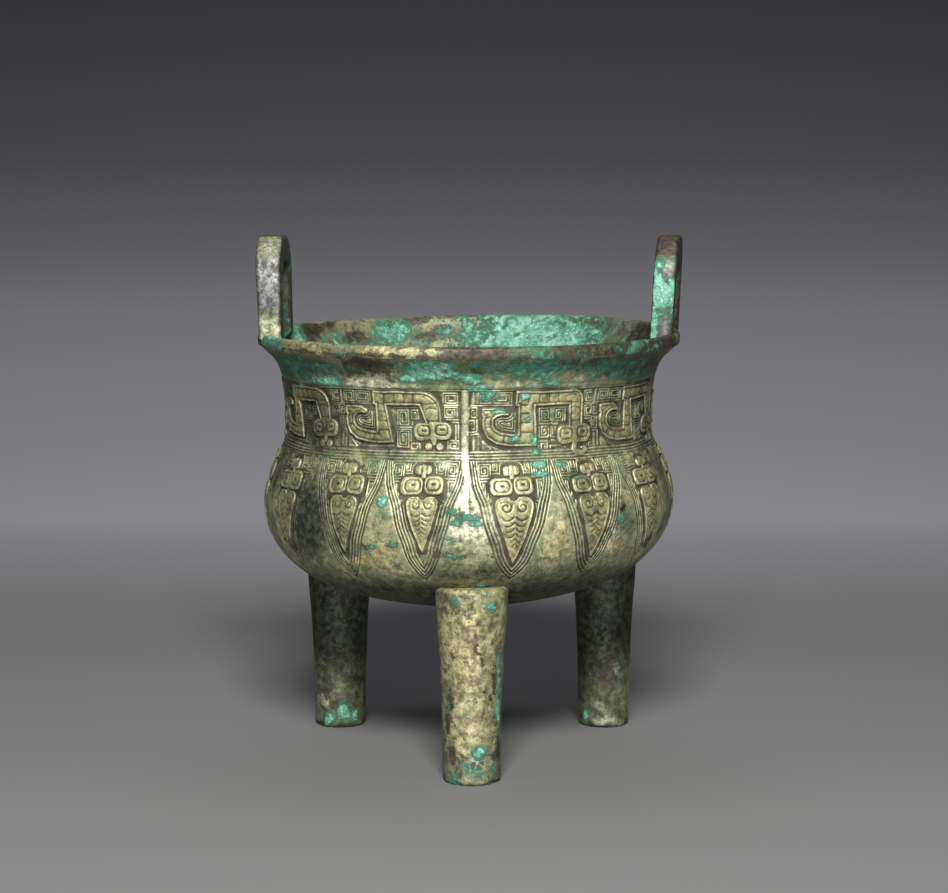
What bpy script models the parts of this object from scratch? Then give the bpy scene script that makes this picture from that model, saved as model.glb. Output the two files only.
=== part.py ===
"""Bronze ding: a round tripod vessel cast in one piece, with two loop ears on its rim.

The body is one turned shell with a true wall. Three column legs and two loop ears run into it, and
the frieze of nine dragons and the ring of fifteen hanging leaves stand out of its outer face. It
rests on its feet at z = 0, with the front leg and the mould seam toward -Y and the ears on +-X.
"""

import math

import bmesh
import bpy

MM = 0.001

# Outer face of the body, top to bottom: (radius, height) in mm.
OUTER_STATIONS = (
    (86.2, 167.4),
    (81.8, 163.5),
    (78.8, 159.9),
    (76.3, 153.2),
    (75.1, 141.5),
    (75.3, 130.6),
    (78.6, 122.6),
    (82.4, 112.8),
    (83.9, 104.6),
    (82.9, 95.6),
    (79.6, 86.8),
    (73.2, 79.2),
    (62.9, 71.9),
    (48.0, 66.5),
    (28.0, 62.4),
    (0.0, 61.0),
)
BELLY_WIDEST = 104.6
WALL = 3.6
RIM_TOP = 171.8
RIM_OUTER = 86.0
RIM_INNER = 80.6
RIM_EDGE = 0.8
SHELL_STEPS = 50

# Raised border lines above and below the frieze, by distance down the outer face from the lip.
BORDER_LINES = (15.2, 41.4)
BORDER_HALF = 1.2
BORDER_RISE = 0.7

# The belly sits a little lower on its -X side and the rim stands higher at the back on +X.
BELLY_TILT = math.radians(1.0)
FRIEZE_TILT = math.radians(0.3)
RIM_RISE = 1.8
RIM_RISE_TOWARD = math.radians(142.0)
RIM_RISE_SPREAD = 0.85

# Legs: their circle stands a little toward +X, and the front leg is slightly the stoutest. Each
# keeps its width right up to a shoulder, where it steps in under the belly.
LEG_COUNT = 3
LEG_CIRCLE = 65.5
LEGS_SHIFT_X = 1.2
LEG_RADIUS_FOOT = 10.7
FRONT_LEG_EXTRA = 0.5
LEG_SPREAD = ((1.1, 0.0), (28.0, 0.55), (50.0, 1.5), (63.0, 2.5))
LEG_SHOULDER_Z = 77.6
LEG_SHOULDER_SPREAD = 3.2
LEG_SHOULDER_EDGE = 1.3
LEG_FOOT_EDGE = 1.2
LEG_SIDES = 16

EAR_WIDTH = 48.0
EAR_STRAP = 11.0
EAR_TOP = 211.0
EAR_FOOT = 165.0
EAR_FOOT_RADIUS = 81.4
EAR_FOOT_THIN = 0.3
EAR_CORNER = 18.0
EAR_CHAMFER = 1.6
# Each ear: side, centre at the rim, thickness, share it thickens to the top, lean out, turn.
EARS = (
    (-1, 79.0, 9.2, 0.11, 0.031, math.radians(1.8)),
    (1, 80.3, 8.9, 0.0, 0.052, math.radians(7.9)),
)

DRAGONS = 9
DRAGON_STEP = 360.0 / DRAGONS
LEAVES = 15
LEAF_STEP = 360.0 / LEAVES
LEAF_START = 12.0

RIBBON_RISE = 1.0
LEAF_RISE = 0.8
CICADA_RISE = 1.2
RELIEF_ROOT = 1.3


def spline(points, per_span):
    """Catmull-Rom curve through the points, with per_span steps between two of them."""
    ends = [points[0]] + list(points) + [points[-1]]
    curve = []
    for k in range(1, len(ends) - 2):
        a, b, c, d = ends[k - 1], ends[k], ends[k + 1], ends[k + 2]
        for step in range(per_span):
            t = step / per_span
            curve.append(
                tuple(
                    0.5
                    * (
                        2 * b[i]
                        + (c[i] - a[i]) * t
                        + (2 * a[i] - 5 * b[i] + 4 * c[i] - d[i]) * t * t
                        + (3 * b[i] - a[i] - 3 * c[i] + d[i]) * t * t * t
                    )
                    for i in range(2)
                )
            )
    curve.append(points[-1])
    return curve


OUTER = spline(OUTER_STATIONS, 8)
LENGTHS = [0.0]
for first, second in zip(OUTER, OUTER[1:]):
    LENGTHS.append(LENGTHS[-1] + math.dist(first, second))


def outer_at(down):
    """Radius, height and outward normal of the outer face, this far down it from the lip."""
    down = min(max(down, 0.0), LENGTHS[-1] - 1e-6)
    k = max(i for i, length in enumerate(LENGTHS[:-1]) if length <= down)
    span = LENGTHS[k + 1] - LENGTHS[k]
    t = (down - LENGTHS[k]) / span
    (r0, z0), (r1, z1) = OUTER[k], OUTER[k + 1]
    out = ((z0 - z1) / span, (r1 - r0) / span)
    return r0 + (r1 - r0) * t, z0 + (z1 - z0) * t, out


def smooth(value, low, high):
    t = min(max((value - low) / (high - low), 0.0), 1.0)
    return t * t * (3 - 2 * t)


def settle(x, y, z):
    """Height after the unevenness of the casting, which leaves the feet level."""
    tilt = BELLY_TILT * smooth(z, 20.0, 70.0) * (1 - smooth(z, 112.0, 130.0))
    tilt += FRIEZE_TILT * smooth(z, 112.0, 130.0) * (1 - smooth(z, 150.0, 166.0))
    away = math.remainder(math.atan2(x, -y) - RIM_RISE_TOWARD, 2 * math.pi) / RIM_RISE_SPREAD
    rise = RIM_RISE * math.exp(-away * away) * smooth(z, 130.0, 172.0)
    return z + tilt * x + rise


def on_face(angle, down, rise):
    """Point in metres at this angle in degrees (0 faces -Y), this far down the outer face."""
    radius, height, out = outer_at(down)
    radius += out[0] * rise
    height += out[1] * rise
    x = radius * math.sin(math.radians(angle))
    y = -radius * math.cos(math.radians(angle))
    return x * MM, y * MM, settle(x, y, height) * MM


def shell_profile():
    """Closed section of the wall, as (radius, height), from the axis below up and back inside."""
    outer = []
    for down in shell_rows():
        radius, height, out = outer_at(down)
        rise = border_rise(down)
        outer.append((radius + out[0] * rise, height + out[1] * rise))
    inner = []
    for down in (3.0, 9.0, 18.0, 40.0, 54.0, 72.0, 92.0, 116.0):
        radius, height, out = outer_at(down)
        inner.append((radius - out[0] * WALL, height - out[1] * WALL))
    rim = [
        (RIM_OUTER + 0.3, RIM_TOP - 3.6),
        (RIM_OUTER, RIM_TOP - RIM_EDGE),
        (RIM_OUTER - RIM_EDGE, RIM_TOP),
        (RIM_INNER + RIM_EDGE, RIM_TOP),
        (RIM_INNER, RIM_TOP - 2 * RIM_EDGE),
    ]
    floor = (0.0, OUTER_STATIONS[-1][1] + WALL)
    return rim[::-1], outer, inner + [floor]


def shell_rows():
    """Rows of the outer face: even steps, closer on the belly, with three for each border line."""
    rows = [0.6, 3.4, 7.0, 11.0, 28.0, 47.0, 54.0, 62.0, 71.0, 80.0, 90.0, 102.0, 118.0, 138.0]
    rows += [LENGTHS[-1]]
    for line in BORDER_LINES:
        rows += [line - BORDER_HALF, line, line + BORDER_HALF]
    return sorted(rows)


def border_rise(down):
    """Height of the raised border line at this distance down the outer face."""
    nearest = min(abs(down - line) for line in BORDER_LINES)
    return BORDER_RISE * max(0.0, 1 - nearest / BORDER_HALF)


def new_object(name, mesh, collection):
    made = bpy.data.objects.new(name, mesh)
    collection.objects.link(made)
    return made


def mesh_of(name, points, faces):
    mesh = bpy.data.meshes.new(name)
    mesh.from_pydata(points, [], faces)
    mesh.validate()
    return mesh


def outward(mesh):
    """Turns every face of a closed mesh outward."""
    work = bmesh.new()
    work.from_mesh(mesh)
    bmesh.ops.remove_doubles(work, verts=work.verts, dist=1e-6)
    bmesh.ops.recalc_face_normals(work, faces=work.faces)
    work.to_mesh(mesh)
    work.free()


def turned_shell(collection):
    """The body: its closed section turned about Z, then settled."""
    rim, outer, inner = shell_profile()
    section = rim + outer + inner[::-1]
    points = [(radius * MM, 0.0, height * MM) for radius, height in section]
    profile = bpy.data.meshes.new("body_section")
    edges = [(k, k + 1) for k in range(len(points) - 1)]
    inner_end = len(rim) + len(outer)
    edges.remove((inner_end - 1, inner_end))
    edges.append((len(points) - 1, 0))
    profile.from_pydata(points, edges, [])
    turned = new_object("body_turned", profile, collection)
    screw = turned.modifiers.new("turn", "SCREW")
    screw.axis = "Z"
    screw.steps = SHELL_STEPS
    screw.render_steps = SHELL_STEPS
    screw.use_merge_vertices = True
    screw.merge_threshold = 0.00001
    screw.use_normal_calculate = True
    bpy.context.view_layer.update()
    graph = bpy.context.evaluated_depsgraph_get()
    mesh = bpy.data.meshes.new_from_object(turned.evaluated_get(graph))
    for vertex in mesh.vertices:
        vertex.co.z = settle(*(vertex.co / MM)) * MM
    outward(mesh)
    bpy.data.objects.remove(turned)
    return mesh


def loft(rings):
    """Closed skin over rings of equally many points, with a flat cap on each end."""
    sides = len(rings[0])
    points = [point for ring in rings for point in ring]
    faces = [tuple(range(sides))[::-1]]
    for k in range(len(rings) - 1):
        for i in range(sides):
            j = (i + 1) % sides
            low, high = k * sides, (k + 1) * sides
            faces.append((low + i, low + j, high + j, high + i))
    last = (len(rings) - 1) * sides
    faces.append(tuple(last + i for i in range(sides)))
    return points, faces


def leg_top(x, y):
    """Height halfway through the wall of the belly above this point, in mm."""
    radius = math.hypot(x, y)
    below = [point for point in OUTER if point[1] < BELLY_WIDEST]
    for (r0, z0), (r1, z1) in zip(below, below[1:]):
        if r1 <= radius <= r0:
            return z0 + (z1 - z0) * (r0 - radius) / (r0 - r1) + WALL * 0.55
    return BELLY_WIDEST


def leg(angle):
    """A column that widens to its shoulder, steps in under the belly and ends inside its wall."""
    foot = LEG_RADIUS_FOOT + (FRONT_LEG_EXTRA if angle == 0.0 else 0.0)
    full = foot + LEG_SHOULDER_SPREAD
    stations = [(0.0, foot - LEG_FOOT_EDGE)]
    stations += [(height, foot + spread) for height, spread in LEG_SPREAD]
    stations.append((LEG_SHOULDER_Z - LEG_SHOULDER_EDGE, full))
    stations.append((LEG_SHOULDER_Z, full - LEG_SHOULDER_EDGE))
    stations.append((BELLY_WIDEST, full / 2))
    rings = []
    for height, radius in stations:
        ring = []
        for i in range(LEG_SIDES):
            turn = 2 * math.pi * i / LEG_SIDES
            reach = LEG_CIRCLE + radius * math.cos(turn)
            side = radius * math.sin(turn)
            x = math.sin(angle) * reach + math.cos(angle) * side + LEGS_SHIFT_X
            y = -math.cos(angle) * reach + math.sin(angle) * side
            z = min(height, leg_top(x, y))
            ring.append((x * MM, y * MM, settle(x, y, z) * MM))
        rings.append(ring)
    return loft(rings)


def ear(side, centre, thick, thicken, lean, turn):
    """An upright loop: a chamfered strap bent over in an arch, its feet drawn in to the wall."""
    half = EAR_WIDTH / 2 - EAR_STRAP / 2
    bend = EAR_CORNER - EAR_STRAP / 2
    top = EAR_TOP - EAR_STRAP / 2
    path = [(-half, EAR_FOOT, -1.0, 0.0), (-half, RIM_TOP - 1.5, -1.0, 0.0)]
    for step in range(5):
        a = math.radians(90.0 * step / 4)
        y = -half + bend * (1 - math.cos(a))
        z = top - bend + bend * math.sin(a)
        path.append((y, z, -math.cos(a), math.sin(a)))
    path += [(-y, z, -ny, nz) for y, z, ny, nz in path[::-1]]
    rings = []
    for y, z, normal_y, normal_z in path:
        ring = []
        for across, along in chamfered(thick, EAR_STRAP, EAR_CHAMFER):
            py = y + normal_y * along
            pz = z + normal_z * along
            across *= 1 + thicken * smooth(pz, RIM_TOP, EAR_TOP)
            px = side * (lean * (pz - RIM_TOP) + across)
            x = side * centre + px * math.cos(turn) + py * math.sin(turn)
            y_turned = py * math.cos(turn) - px * math.sin(turn)
            if z == EAR_FOOT:
                in_wall = math.sqrt(EAR_FOOT_RADIUS**2 - y_turned**2)
                x = side * (in_wall + across * EAR_FOOT_THIN)
            ring.append((x * MM, y_turned * MM, pz * MM))
        rings.append(ring)
    return loft(rings)


def chamfered(width, depth, cut):
    """Rectangle with its corners cut, as points around its centre."""
    a, b = width / 2, depth / 2
    return [
        (a, -b + cut),
        (a, b - cut),
        (a - cut, b),
        (-a + cut, b),
        (-a, b - cut),
        (-a, -b + cut),
        (-a + cut, -b),
        (a - cut, -b),
    ]


def ribbon(path, half, rise):
    """A raised band along a path of (angle, distance down), mitred at its corners."""
    flat = [(math.radians(angle) * outer_at(down)[0], down) for angle, down in path]
    rings = []
    for k, (x, y) in enumerate(flat):
        before = flat[k - 1] if k else None
        after = flat[k + 1] if k + 1 < len(flat) else None
        ways = []
        if before:
            ways.append(unit(x - before[0], y - before[1]))
        if after:
            ways.append(unit(after[0] - x, after[1] - y))
        way = unit(sum(w[0] for w in ways), sum(w[1] for w in ways))
        reach = half / max(0.5, way[0] * ways[0][0] + way[1] * ways[0][1])
        ring = []
        for across, height in ((1, -RELIEF_ROOT), (1, rise), (-1, rise), (-1, -RELIEF_ROOT)):
            px = x - way[1] * reach * across
            py = y + way[0] * reach * across
            angle = math.degrees(px / outer_at(path[k][1])[0])
            ring.append(on_face(angle, py, height))
        rings.append(ring)
    return loft(rings)


def unit(x, y):
    size = math.hypot(x, y) or 1.0
    return x / size, y / size


def boss(outline, rise):
    """A raised plate with this outline of (angle, distance down)."""
    root = [on_face(angle, down, -RELIEF_ROOT) for angle, down in outline]
    face = [on_face(angle, down, rise) for angle, down in outline]
    return loft([root, face])


def round_plate(angle, down, half_angle, half_down, sides, rise):
    outline = []
    for i in range(sides):
        a = 2 * math.pi * (i + 0.5) / sides
        outline.append((angle + half_angle * math.cos(a), down + half_down * math.sin(a)))
    return boss(outline, rise)


def dragon(start):
    """Tail hook, upright, back and neck as one band, then the head's two eyes and its snout."""
    turns = (
        (12.0, 24.0),
        (6.0, 24.0),
        (6.0, 32.5),
        (9.2, 36.4),
        (17.4, 36.4),
        (17.4, 19.8),
        (25.3, 19.8),
        (33.0, 19.8),
        (33.0, 30.5),
    )
    band = ribbon([(start + angle, down) for angle, down in turns], 2.3, RIBBON_RISE)
    eyes = [round_plate(start + angle, 33.9, 3.0, 3.8, 6, RIBBON_RISE + 0.3) for angle in (30.7, 36.3)]
    return band, eyes


def leaf(centre):
    """Hanging leaf: its V outline as a band and, inside it, the cicada with its eyes."""
    outline = []
    for across, down in ((-10.4, 45.0), (-7.9, 70.0), (0.0, 92.0)):
        outline.append((centre + across, down))
    outline += [(2 * centre - angle, down) for angle, down in outline[-2::-1]]
    frame = ribbon(outline, 1.1, LEAF_RISE)
    half = ((4.6, 58.2), (4.5, 64.0), (3.6, 72.0), (1.8, 80.0))
    body = [(centre - across, down) for across, down in half]
    body += [(centre, 85.0)]
    body += [(centre + across, down) for across, down in half[::-1]]
    cicada = boss(body, CICADA_RISE - 0.2)
    eyes = [round_plate(centre + a, 53.6, 2.6, 3.7, 6, CICADA_RISE) for a in (-2.65, 2.65)]
    return frame, cicada, eyes


def merged(name, pieces):
    """One mesh object holding closed pieces that stand clear of one another."""
    points, faces = [], []
    for piece_points, piece_faces in pieces:
        base = len(points)
        points += piece_points
        faces += [tuple(base + i for i in face) for face in piece_faces]
    mesh = mesh_of(name, points, faces)
    outward(mesh)
    return mesh


def union(vessel, name, mesh, cutters, solver="EXACT"):
    """Joins the mesh to the vessel. EXACT loses the shell on the ring of bands, MANIFOLD keeps it."""
    helper = new_object(name, mesh, cutters)
    helper.hide_render = True
    helper.display_type = "WIRE"
    join = vessel.modifiers.new("join_" + name, "BOOLEAN")
    join.operation = "UNION"
    join.solver = solver
    join.object = helper


def bronze():
    material = bpy.data.materials.new("patinated_bronze")
    material.use_nodes = True
    shader = material.node_tree.nodes["Principled BSDF"]
    shader.inputs["Base Color"].default_value = (0.20, 0.21, 0.12, 1.0)
    shader.inputs["Metallic"].default_value = 0.35
    shader.inputs["Roughness"].default_value = 0.55
    return material


def build():
    for old in list(bpy.data.objects):
        bpy.data.objects.remove(old)
    parts = bpy.data.collections.new("bronze_ding")
    cutters = bpy.data.collections.new("joined_pieces")
    cutters.hide_render = True
    for collection in (parts, cutters):
        bpy.context.scene.collection.children.link(collection)

    vessel = new_object("ding_vessel", turned_shell(cutters), parts)
    vessel.data.materials.append(bronze())

    legs = [leg(2 * math.pi * k / LEG_COUNT) for k in range(LEG_COUNT)]
    union(vessel, "legs", merged("legs", legs), cutters)
    union(vessel, "ears", merged("ears", [ear(*sizes) for sizes in EARS]), cutters)

    bands, bosses = [], []
    for k in range(DRAGONS):
        band, eyes = dragon(k * DRAGON_STEP)
        bands.append(band)
        bosses.append(eyes)
    frames, cicadas = [], []
    for k in range(LEAVES):
        frame, cicada, eyes = leaf(LEAF_START + k * LEAF_STEP)
        frames.append(frame)
        cicadas.append(cicada)
        bosses.append(eyes)
    union(vessel, "bands", merged("bands", bands + frames), cutters, "MANIFOLD")
    union(vessel, "cicadas", merged("cicadas", cicadas), cutters)
    union(vessel, "left_eyes", merged("left_eyes", [pair[0] for pair in bosses]), cutters)
    union(vessel, "right_eyes", merged("right_eyes", [pair[1] for pair in bosses]), cutters)


build()
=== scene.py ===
"""Looks of the bronze ding: its cast relief, corrosion and patina, on a plain pale floor."""

import math

import bpy
import numpy as np
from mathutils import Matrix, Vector


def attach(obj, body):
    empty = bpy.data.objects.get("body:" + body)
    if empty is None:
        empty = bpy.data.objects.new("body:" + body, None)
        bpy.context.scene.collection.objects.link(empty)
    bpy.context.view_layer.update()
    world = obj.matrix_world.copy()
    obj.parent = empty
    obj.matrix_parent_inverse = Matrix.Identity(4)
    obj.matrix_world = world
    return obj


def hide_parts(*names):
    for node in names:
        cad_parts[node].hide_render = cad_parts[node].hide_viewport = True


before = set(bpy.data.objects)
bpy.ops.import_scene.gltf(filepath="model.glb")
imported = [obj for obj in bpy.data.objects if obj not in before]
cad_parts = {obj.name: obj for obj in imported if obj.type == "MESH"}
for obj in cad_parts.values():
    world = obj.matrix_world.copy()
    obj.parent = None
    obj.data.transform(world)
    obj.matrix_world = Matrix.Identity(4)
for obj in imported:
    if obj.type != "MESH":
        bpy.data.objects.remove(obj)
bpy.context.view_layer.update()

NODE = "ding_vessel"
MM = 0.001
UNIT = 0.41  # mm in one ornament unit, about the width of a fine line

# The casting's named sizes, in mm, as in the CAD source.
OUTER_STATIONS = (
    (86.2, 167.4), (81.8, 163.5), (78.8, 159.9), (76.3, 153.2), (75.1, 141.5), (75.3, 130.6), (78.6, 122.6),
    (82.4, 112.8), (83.9, 104.6), (82.9, 95.6), (79.6, 86.8), (73.2, 79.2), (62.9, 71.9), (48.0, 66.5),
    (28.0, 62.4), (0.0, 61.0),
)
BELLY_WIDEST = 104.6
WALL = 3.6
RIM_TOP = 171.8
BELLY_TILT = math.radians(1.0)
FRIEZE_TILT = math.radians(0.3)
RIM_RISE = 1.8
RIM_RISE_TOWARD = math.radians(142.0)
RIM_RISE_SPREAD = 0.85
LEG_CIRCLE = 65.5
LEGS_SHIFT_X = 1.2
LEG_RADIUS_FOOT = 10.7
FRONT_LEG_EXTRA = 0.5
LEG_SPREAD = ((1.1, 0.0), (28.0, 0.55), (50.0, 1.5), (63.0, 2.5))
LEG_SHOULDER_Z = 77.6
LEG_SHOULDER_SPREAD = 3.2
LEG_SHOULDER_EDGE = 1.3
LEG_FOOT_EDGE = 1.2
EAR_WIDTH = 48.0
EAR_STRAP = 11.0
EAR_TOP = 211.0
EAR_FOOT = 165.0
EAR_FOOT_RADIUS = 81.4
EAR_FOOT_THIN = 0.3
EAR_CORNER = 18.0
EAR_EDGE = 1.5
# Each ear: side, centre at the rim, thickness, share it thickens to the top, lean out, turn.
EARS = (
    ("left_ear", -1, 79.0, 9.2, 0.11, 0.031, math.radians(1.8)),
    ("right_ear", 1, 80.3, 8.9, 0.0, 0.052, math.radians(7.9)),
)

SEAM = -1.0  # angle of the first mould seam, in degrees from the front
SECTION = 120.0  # degrees in one mould section
CARVED_DOWN = 102.4  # mm from the lip down the outer face to the end of the carved part
TILE = 128  # grid steps in one tile of the carved part, a power of two
COLUMNS = TILE * 18
ROWS = TILE * 4
FLATNESS = 0.047  # mm that the mesh may stand off the carved surface
BACK_SHARE = 0.6  # how much the detail of the section at the back counts, as it is out of the light


def smooth(value, low, high):
    """Smooth step from 0 at low to 1 at high."""
    t = np.clip((value - low) / (high - low), 0.0, 1.0)
    return t * t * (3 - 2 * t)


def window(value, low, full, fade, high):
    """1 from full to fade, and 0 below low and above high."""
    return smooth(value, low, full) * (1 - smooth(value, fade, high))


def hump(value, middle, reach, power=2):
    """A bell, 1 at the middle, that has nearly gone two reaches away."""
    return np.exp(-(((value - middle) / reach) ** power))


def lowest(first, *others):
    """The union of shapes, from their signed distances."""
    for other in others:
        first = np.minimum(first, other)
    return first


def inside(distance, soft):
    """1 well inside a shape, 0 well outside it, from the signed distance to its edge."""
    return 1 - smooth(distance, -soft, soft)


def ridge(distance, half, soft):
    """1 on a line of this half width, 0 off it."""
    return 1 - smooth(distance, half - soft, half + soft)


# ---------------------------------------------------------------- noise


def lattice(ix, iy, iz, seed):
    """A repeatable value from 0 to 1 for each whole-numbered place."""
    n = ix * 374761393 + iy * 668265263 + iz * 2147483647 + seed * 1274126177
    n = (n ^ (n >> 13)) & 0xFFFFFFFF
    n = (n * 1274126177) & 0xFFFFFFFF
    n = n ^ (n >> 16)
    return ((n & 0xFFFFFF) / float(0xFFFFFF)).astype(np.float32)


def noise(points, size, seed):
    """Smooth noise of this feature size in mm, from -1 to 1."""
    scaled = points / size
    cell = np.floor(scaled).astype(np.int64)
    part = (scaled - cell).astype(np.float32)
    ease = part * part * (3 - 2 * part)
    total = 0.0
    for corner in np.ndindex(2, 2, 2):
        wx, wy, wz = (ease[..., k] if corner[k] else 1 - ease[..., k] for k in range(3))
        value = lattice(*(cell[..., k] + corner[k] for k in range(3)), seed)
        total = total + value * (wx * wy * wz)
    return total * 2 - 1


def octaves(points, size, seed, count):
    """Noise of this size with this many layers, each half as large and about half as strong."""
    total, gain, reach = 0.0, 1.0, 0.0
    for k in range(count):
        total = total + gain * noise(points, size / 2**k, seed + 17 * k)
        reach += gain
        gain *= 0.55
    return total / reach


# ---------------------------------------------------------------- the body's surface


def spline(points, per_span):
    """Points of a Catmull-Rom curve, this many to each span."""
    ends = np.array([points[0], *points, points[-1]])
    curve = []
    for a, b, c, d in zip(ends, ends[1:], ends[2:], ends[3:]):
        for t in (step / per_span for step in range(per_span)):
            bend = (2 * a - 5 * b + 4 * c - d) * t * t
            curve.append(0.5 * (2 * b + (c - a) * t + bend + (3 * b - a - 3 * c + d) * t**3))
    return np.array([*curve, ends[-1]])


OUTER = spline(OUTER_STATIONS, 24)
DOWN = np.concatenate([[0.0], np.cumsum(np.hypot(*np.diff(OUTER, axis=0).T))])
SLOPE = np.gradient(OUTER, DOWN, axis=0)
FACING = np.stack([-SLOPE[:, 1], SLOPE[:, 0]], axis=1)
FACING /= np.linalg.norm(FACING, axis=1, keepdims=True)


def outer_at(down):
    """Radius, height and outward normal of the outer face, this far down it from the lip."""
    return [np.interp(down, DOWN, column) for column in (*OUTER.T, *FACING.T)]


def on_body(angle, down, rise):
    """Points this far out from the outer face, in mm."""
    radius, height, out, up = outer_at(down)
    radius = radius + out * rise
    turn = np.radians(angle)
    return np.stack([radius * np.sin(turn), -radius * np.cos(turn), height + up * rise], -1)


def joined(*grids):
    """Makes the last column of each grid the same as its first."""
    for grid in grids:
        grid[:, -1] = grid[:, 0]


def settled(points):
    """The casting's own unevenness: the belly's tilt and the rim's rise at the back on +X."""
    x, y, z = points[..., 0], points[..., 1], points[..., 2]
    tilt = BELLY_TILT * window(z, 20.0, 70.0, 112.0, 130.0)
    tilt = tilt + FRIEZE_TILT * window(z, 112.0, 130.0, 150.0, 166.0)
    away = np.arctan2(x, -y) - RIM_RISE_TOWARD
    away = ((away + math.pi) % (2 * math.pi) - math.pi) / RIM_RISE_SPREAD
    moved = points.copy()
    moved[..., 2] = z + tilt * x + RIM_RISE * np.exp(-away * away) * smooth(z, 130.0, 172.0)
    return moved


def weather(points):
    """Height of the slow dents and the fine grain of the old surface, in mm."""
    dents = 0.16 * octaves(points, 26.0, 3, 2) + 0.06 * octaves(points, 7.0, 5, 2)
    return dents + 0.016 * noise(points, 1.6, 9)


# ---------------------------------------------------------------- shapes of the ornament

# Fine lines: half width, softness and pitch in ornament units. The heights are in mm.
LINE_HALF = 0.46
LINE_SOFT = 0.44
LINE_PITCH = 2.45
LINE_TOP = 0.06
GROUND = -0.42
BAND_TOP = 0.60
FAR = 1e6  # farther than any shape of the ornament


def box(x, y, cx, cy, hx, hy, r):
    """Signed distance to a rectangle with rounded corners, from its middle and half sizes."""
    qx = np.abs(x - cx) - (hx - r)
    qy = np.abs(y - cy) - (hy - r)
    return np.hypot(np.maximum(qx, 0), np.maximum(qy, 0)) + np.minimum(np.maximum(qx, qy), 0) - r


def limb(x, y, path):
    """Signed distance to a limb along a path of (x, y, half width)."""
    best = np.full(x.shape, FAR)
    for (x0, y0, h0), (x1, y1, h1) in zip(path, path[1:]):
        dx, dy = x1 - x0, y1 - y0
        t = np.clip(((x - x0) * dx + (y - y0) * dy) / (dx * dx + dy * dy + 1e-9), 0, 1)
        reach = np.hypot(x - x0 - t * dx, y - y0 - t * dy)
        best = np.minimum(best, reach - h0 - t * (h1 - h0))
    return best


def stroke(x, y, path):
    """Distance to a path of straight runs."""
    return limb(x, y, [(px, py, 0.0) for px, py in path])


def square_spiral(x0, y0, x1, y1, flip_x, flip_y):
    """Leiwen: a path that winds inward inside a rectangle."""
    tight = LINE_PITCH * 0.6
    left, top, right, low = 0.0, 0.0, x1 - x0, y1 - y0
    path = [(left, low), (left, top)]
    while right - left >= tight and low - top >= tight:
        path += [(right, top), (right, low)]
        left += LINE_PITCH
        if right - left < tight:
            break
        path.append((left, low))
        top += LINE_PITCH
        if low - top < tight:
            break
        path.append((left, top))
        right -= LINE_PITCH
        low -= LINE_PITCH
    placed = []
    for px, py in path:
        px = (x1 - x0) - px if flip_x else px
        py = (y1 - y0) - py if flip_y else py
        placed.append((x0 + px, y0 + py))
    return placed


def round_spiral(cx, cy, reach, turns, start, way):
    """A path that winds inward in a round coil, from a start angle in degrees."""
    steps = int(turns * 16)
    path = []
    for k in range(steps + 1):
        t = k / steps
        r = reach * (1 - 0.7 * t)
        a = math.radians(start + way * 360 * turns * t)
        path.append((cx + r * math.cos(a), cy + r * math.sin(a)))
    return path


def leiwen(x, y, cells):
    """Height share, 0 to 1, of the raised fine lines of several squared spirals."""
    lines = np.zeros(x.shape)
    for x0, y0, x1, y1, flip_x, flip_y in cells:
        near = (x > x0 - 3) & (x < x1 + 3) & (y > y0 - 3) & (y < y1 + 3)
        distance = stroke(x[near], y[near], square_spiral(x0, y0, x1, y1, flip_x, flip_y))
        lines[near] = np.maximum(lines[near], ridge(distance, LINE_HALF, LINE_SOFT))
    return lines


def runs(x, y, paths):
    """Height share of the raised fine lines along these paths."""
    lines = np.zeros(x.shape)
    for path in paths:
        lines = np.maximum(lines, ridge(stroke(x, y, path), LINE_HALF, LINE_SOFT))
    return lines


def cushion(x, y, cuts):
    """How deep, 0 to 1, the surface dips at and beside these cuts, so that pads swell between them."""
    nearest = lowest(*(stroke(x, y, path) for path in cuts))
    return 0.75 * ridge(nearest, 0.55, 0.4) + 0.25 * hump(nearest, 0.0, 2.6)


def swelling(edge, top, soft):
    """Height of a raised shape that rounds over from its edge to this top."""
    return top * (0.45 + 0.55 * (1 - np.exp(np.minimum(edge, 0.0) / soft)))


def moat(edge):
    """Share of the deeper line that runs round a raised shape."""
    return hump(edge, 1.0, 0.9)


def band_profile(edge, rim_top, within, top, soft, dips, least):
    """Height of a raised band: a rim line, a groove, and a padded core that starts this far within."""
    rim = rim_top * hump(edge, -1.0, 0.95, 4)
    core = swelling(edge + within, top, soft) * inside(edge + within, 0.45)
    return np.maximum(np.maximum(rim, core - dips), least)


def face_profile(edge, top, fold):
    """Height of a swelling face with a fine groove this far within its edge."""
    return swelling(edge, top, 1.3) - 0.10 * ridge(np.abs(edge + fold), 0.4, 0.4)


def on_ground(lines, shapes):
    """Height in mm of fine lines on their ground, with raised shapes and their heights on it.

    Also gives how much each place belongs to the shapes.
    """
    raised = lowest(*(edge for edge, _ in shapes))
    height = GROUND + (LINE_TOP - GROUND) * lines * smooth(raised, 1.0, 1.9) - 0.2 * moat(raised)
    for edge, top in shapes:
        cover = inside(edge, 0.5)
        height = height * (1 - cover) + top * cover
    return height, inside(raised, 0.6)


def eye_profile(ring, pupil):
    """Height change of an eye, from the distances to its ring groove and to the slot of its pupil."""
    swell = 0.10 * inside(ring + 1.2, 1.4)
    return swell - 0.36 * ridge(np.abs(ring), 0.62, 0.4) - 0.36 * inside(pupil, 0.5)


DEGREE = 3.2  # ornament units in one degree, on the frieze

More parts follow.
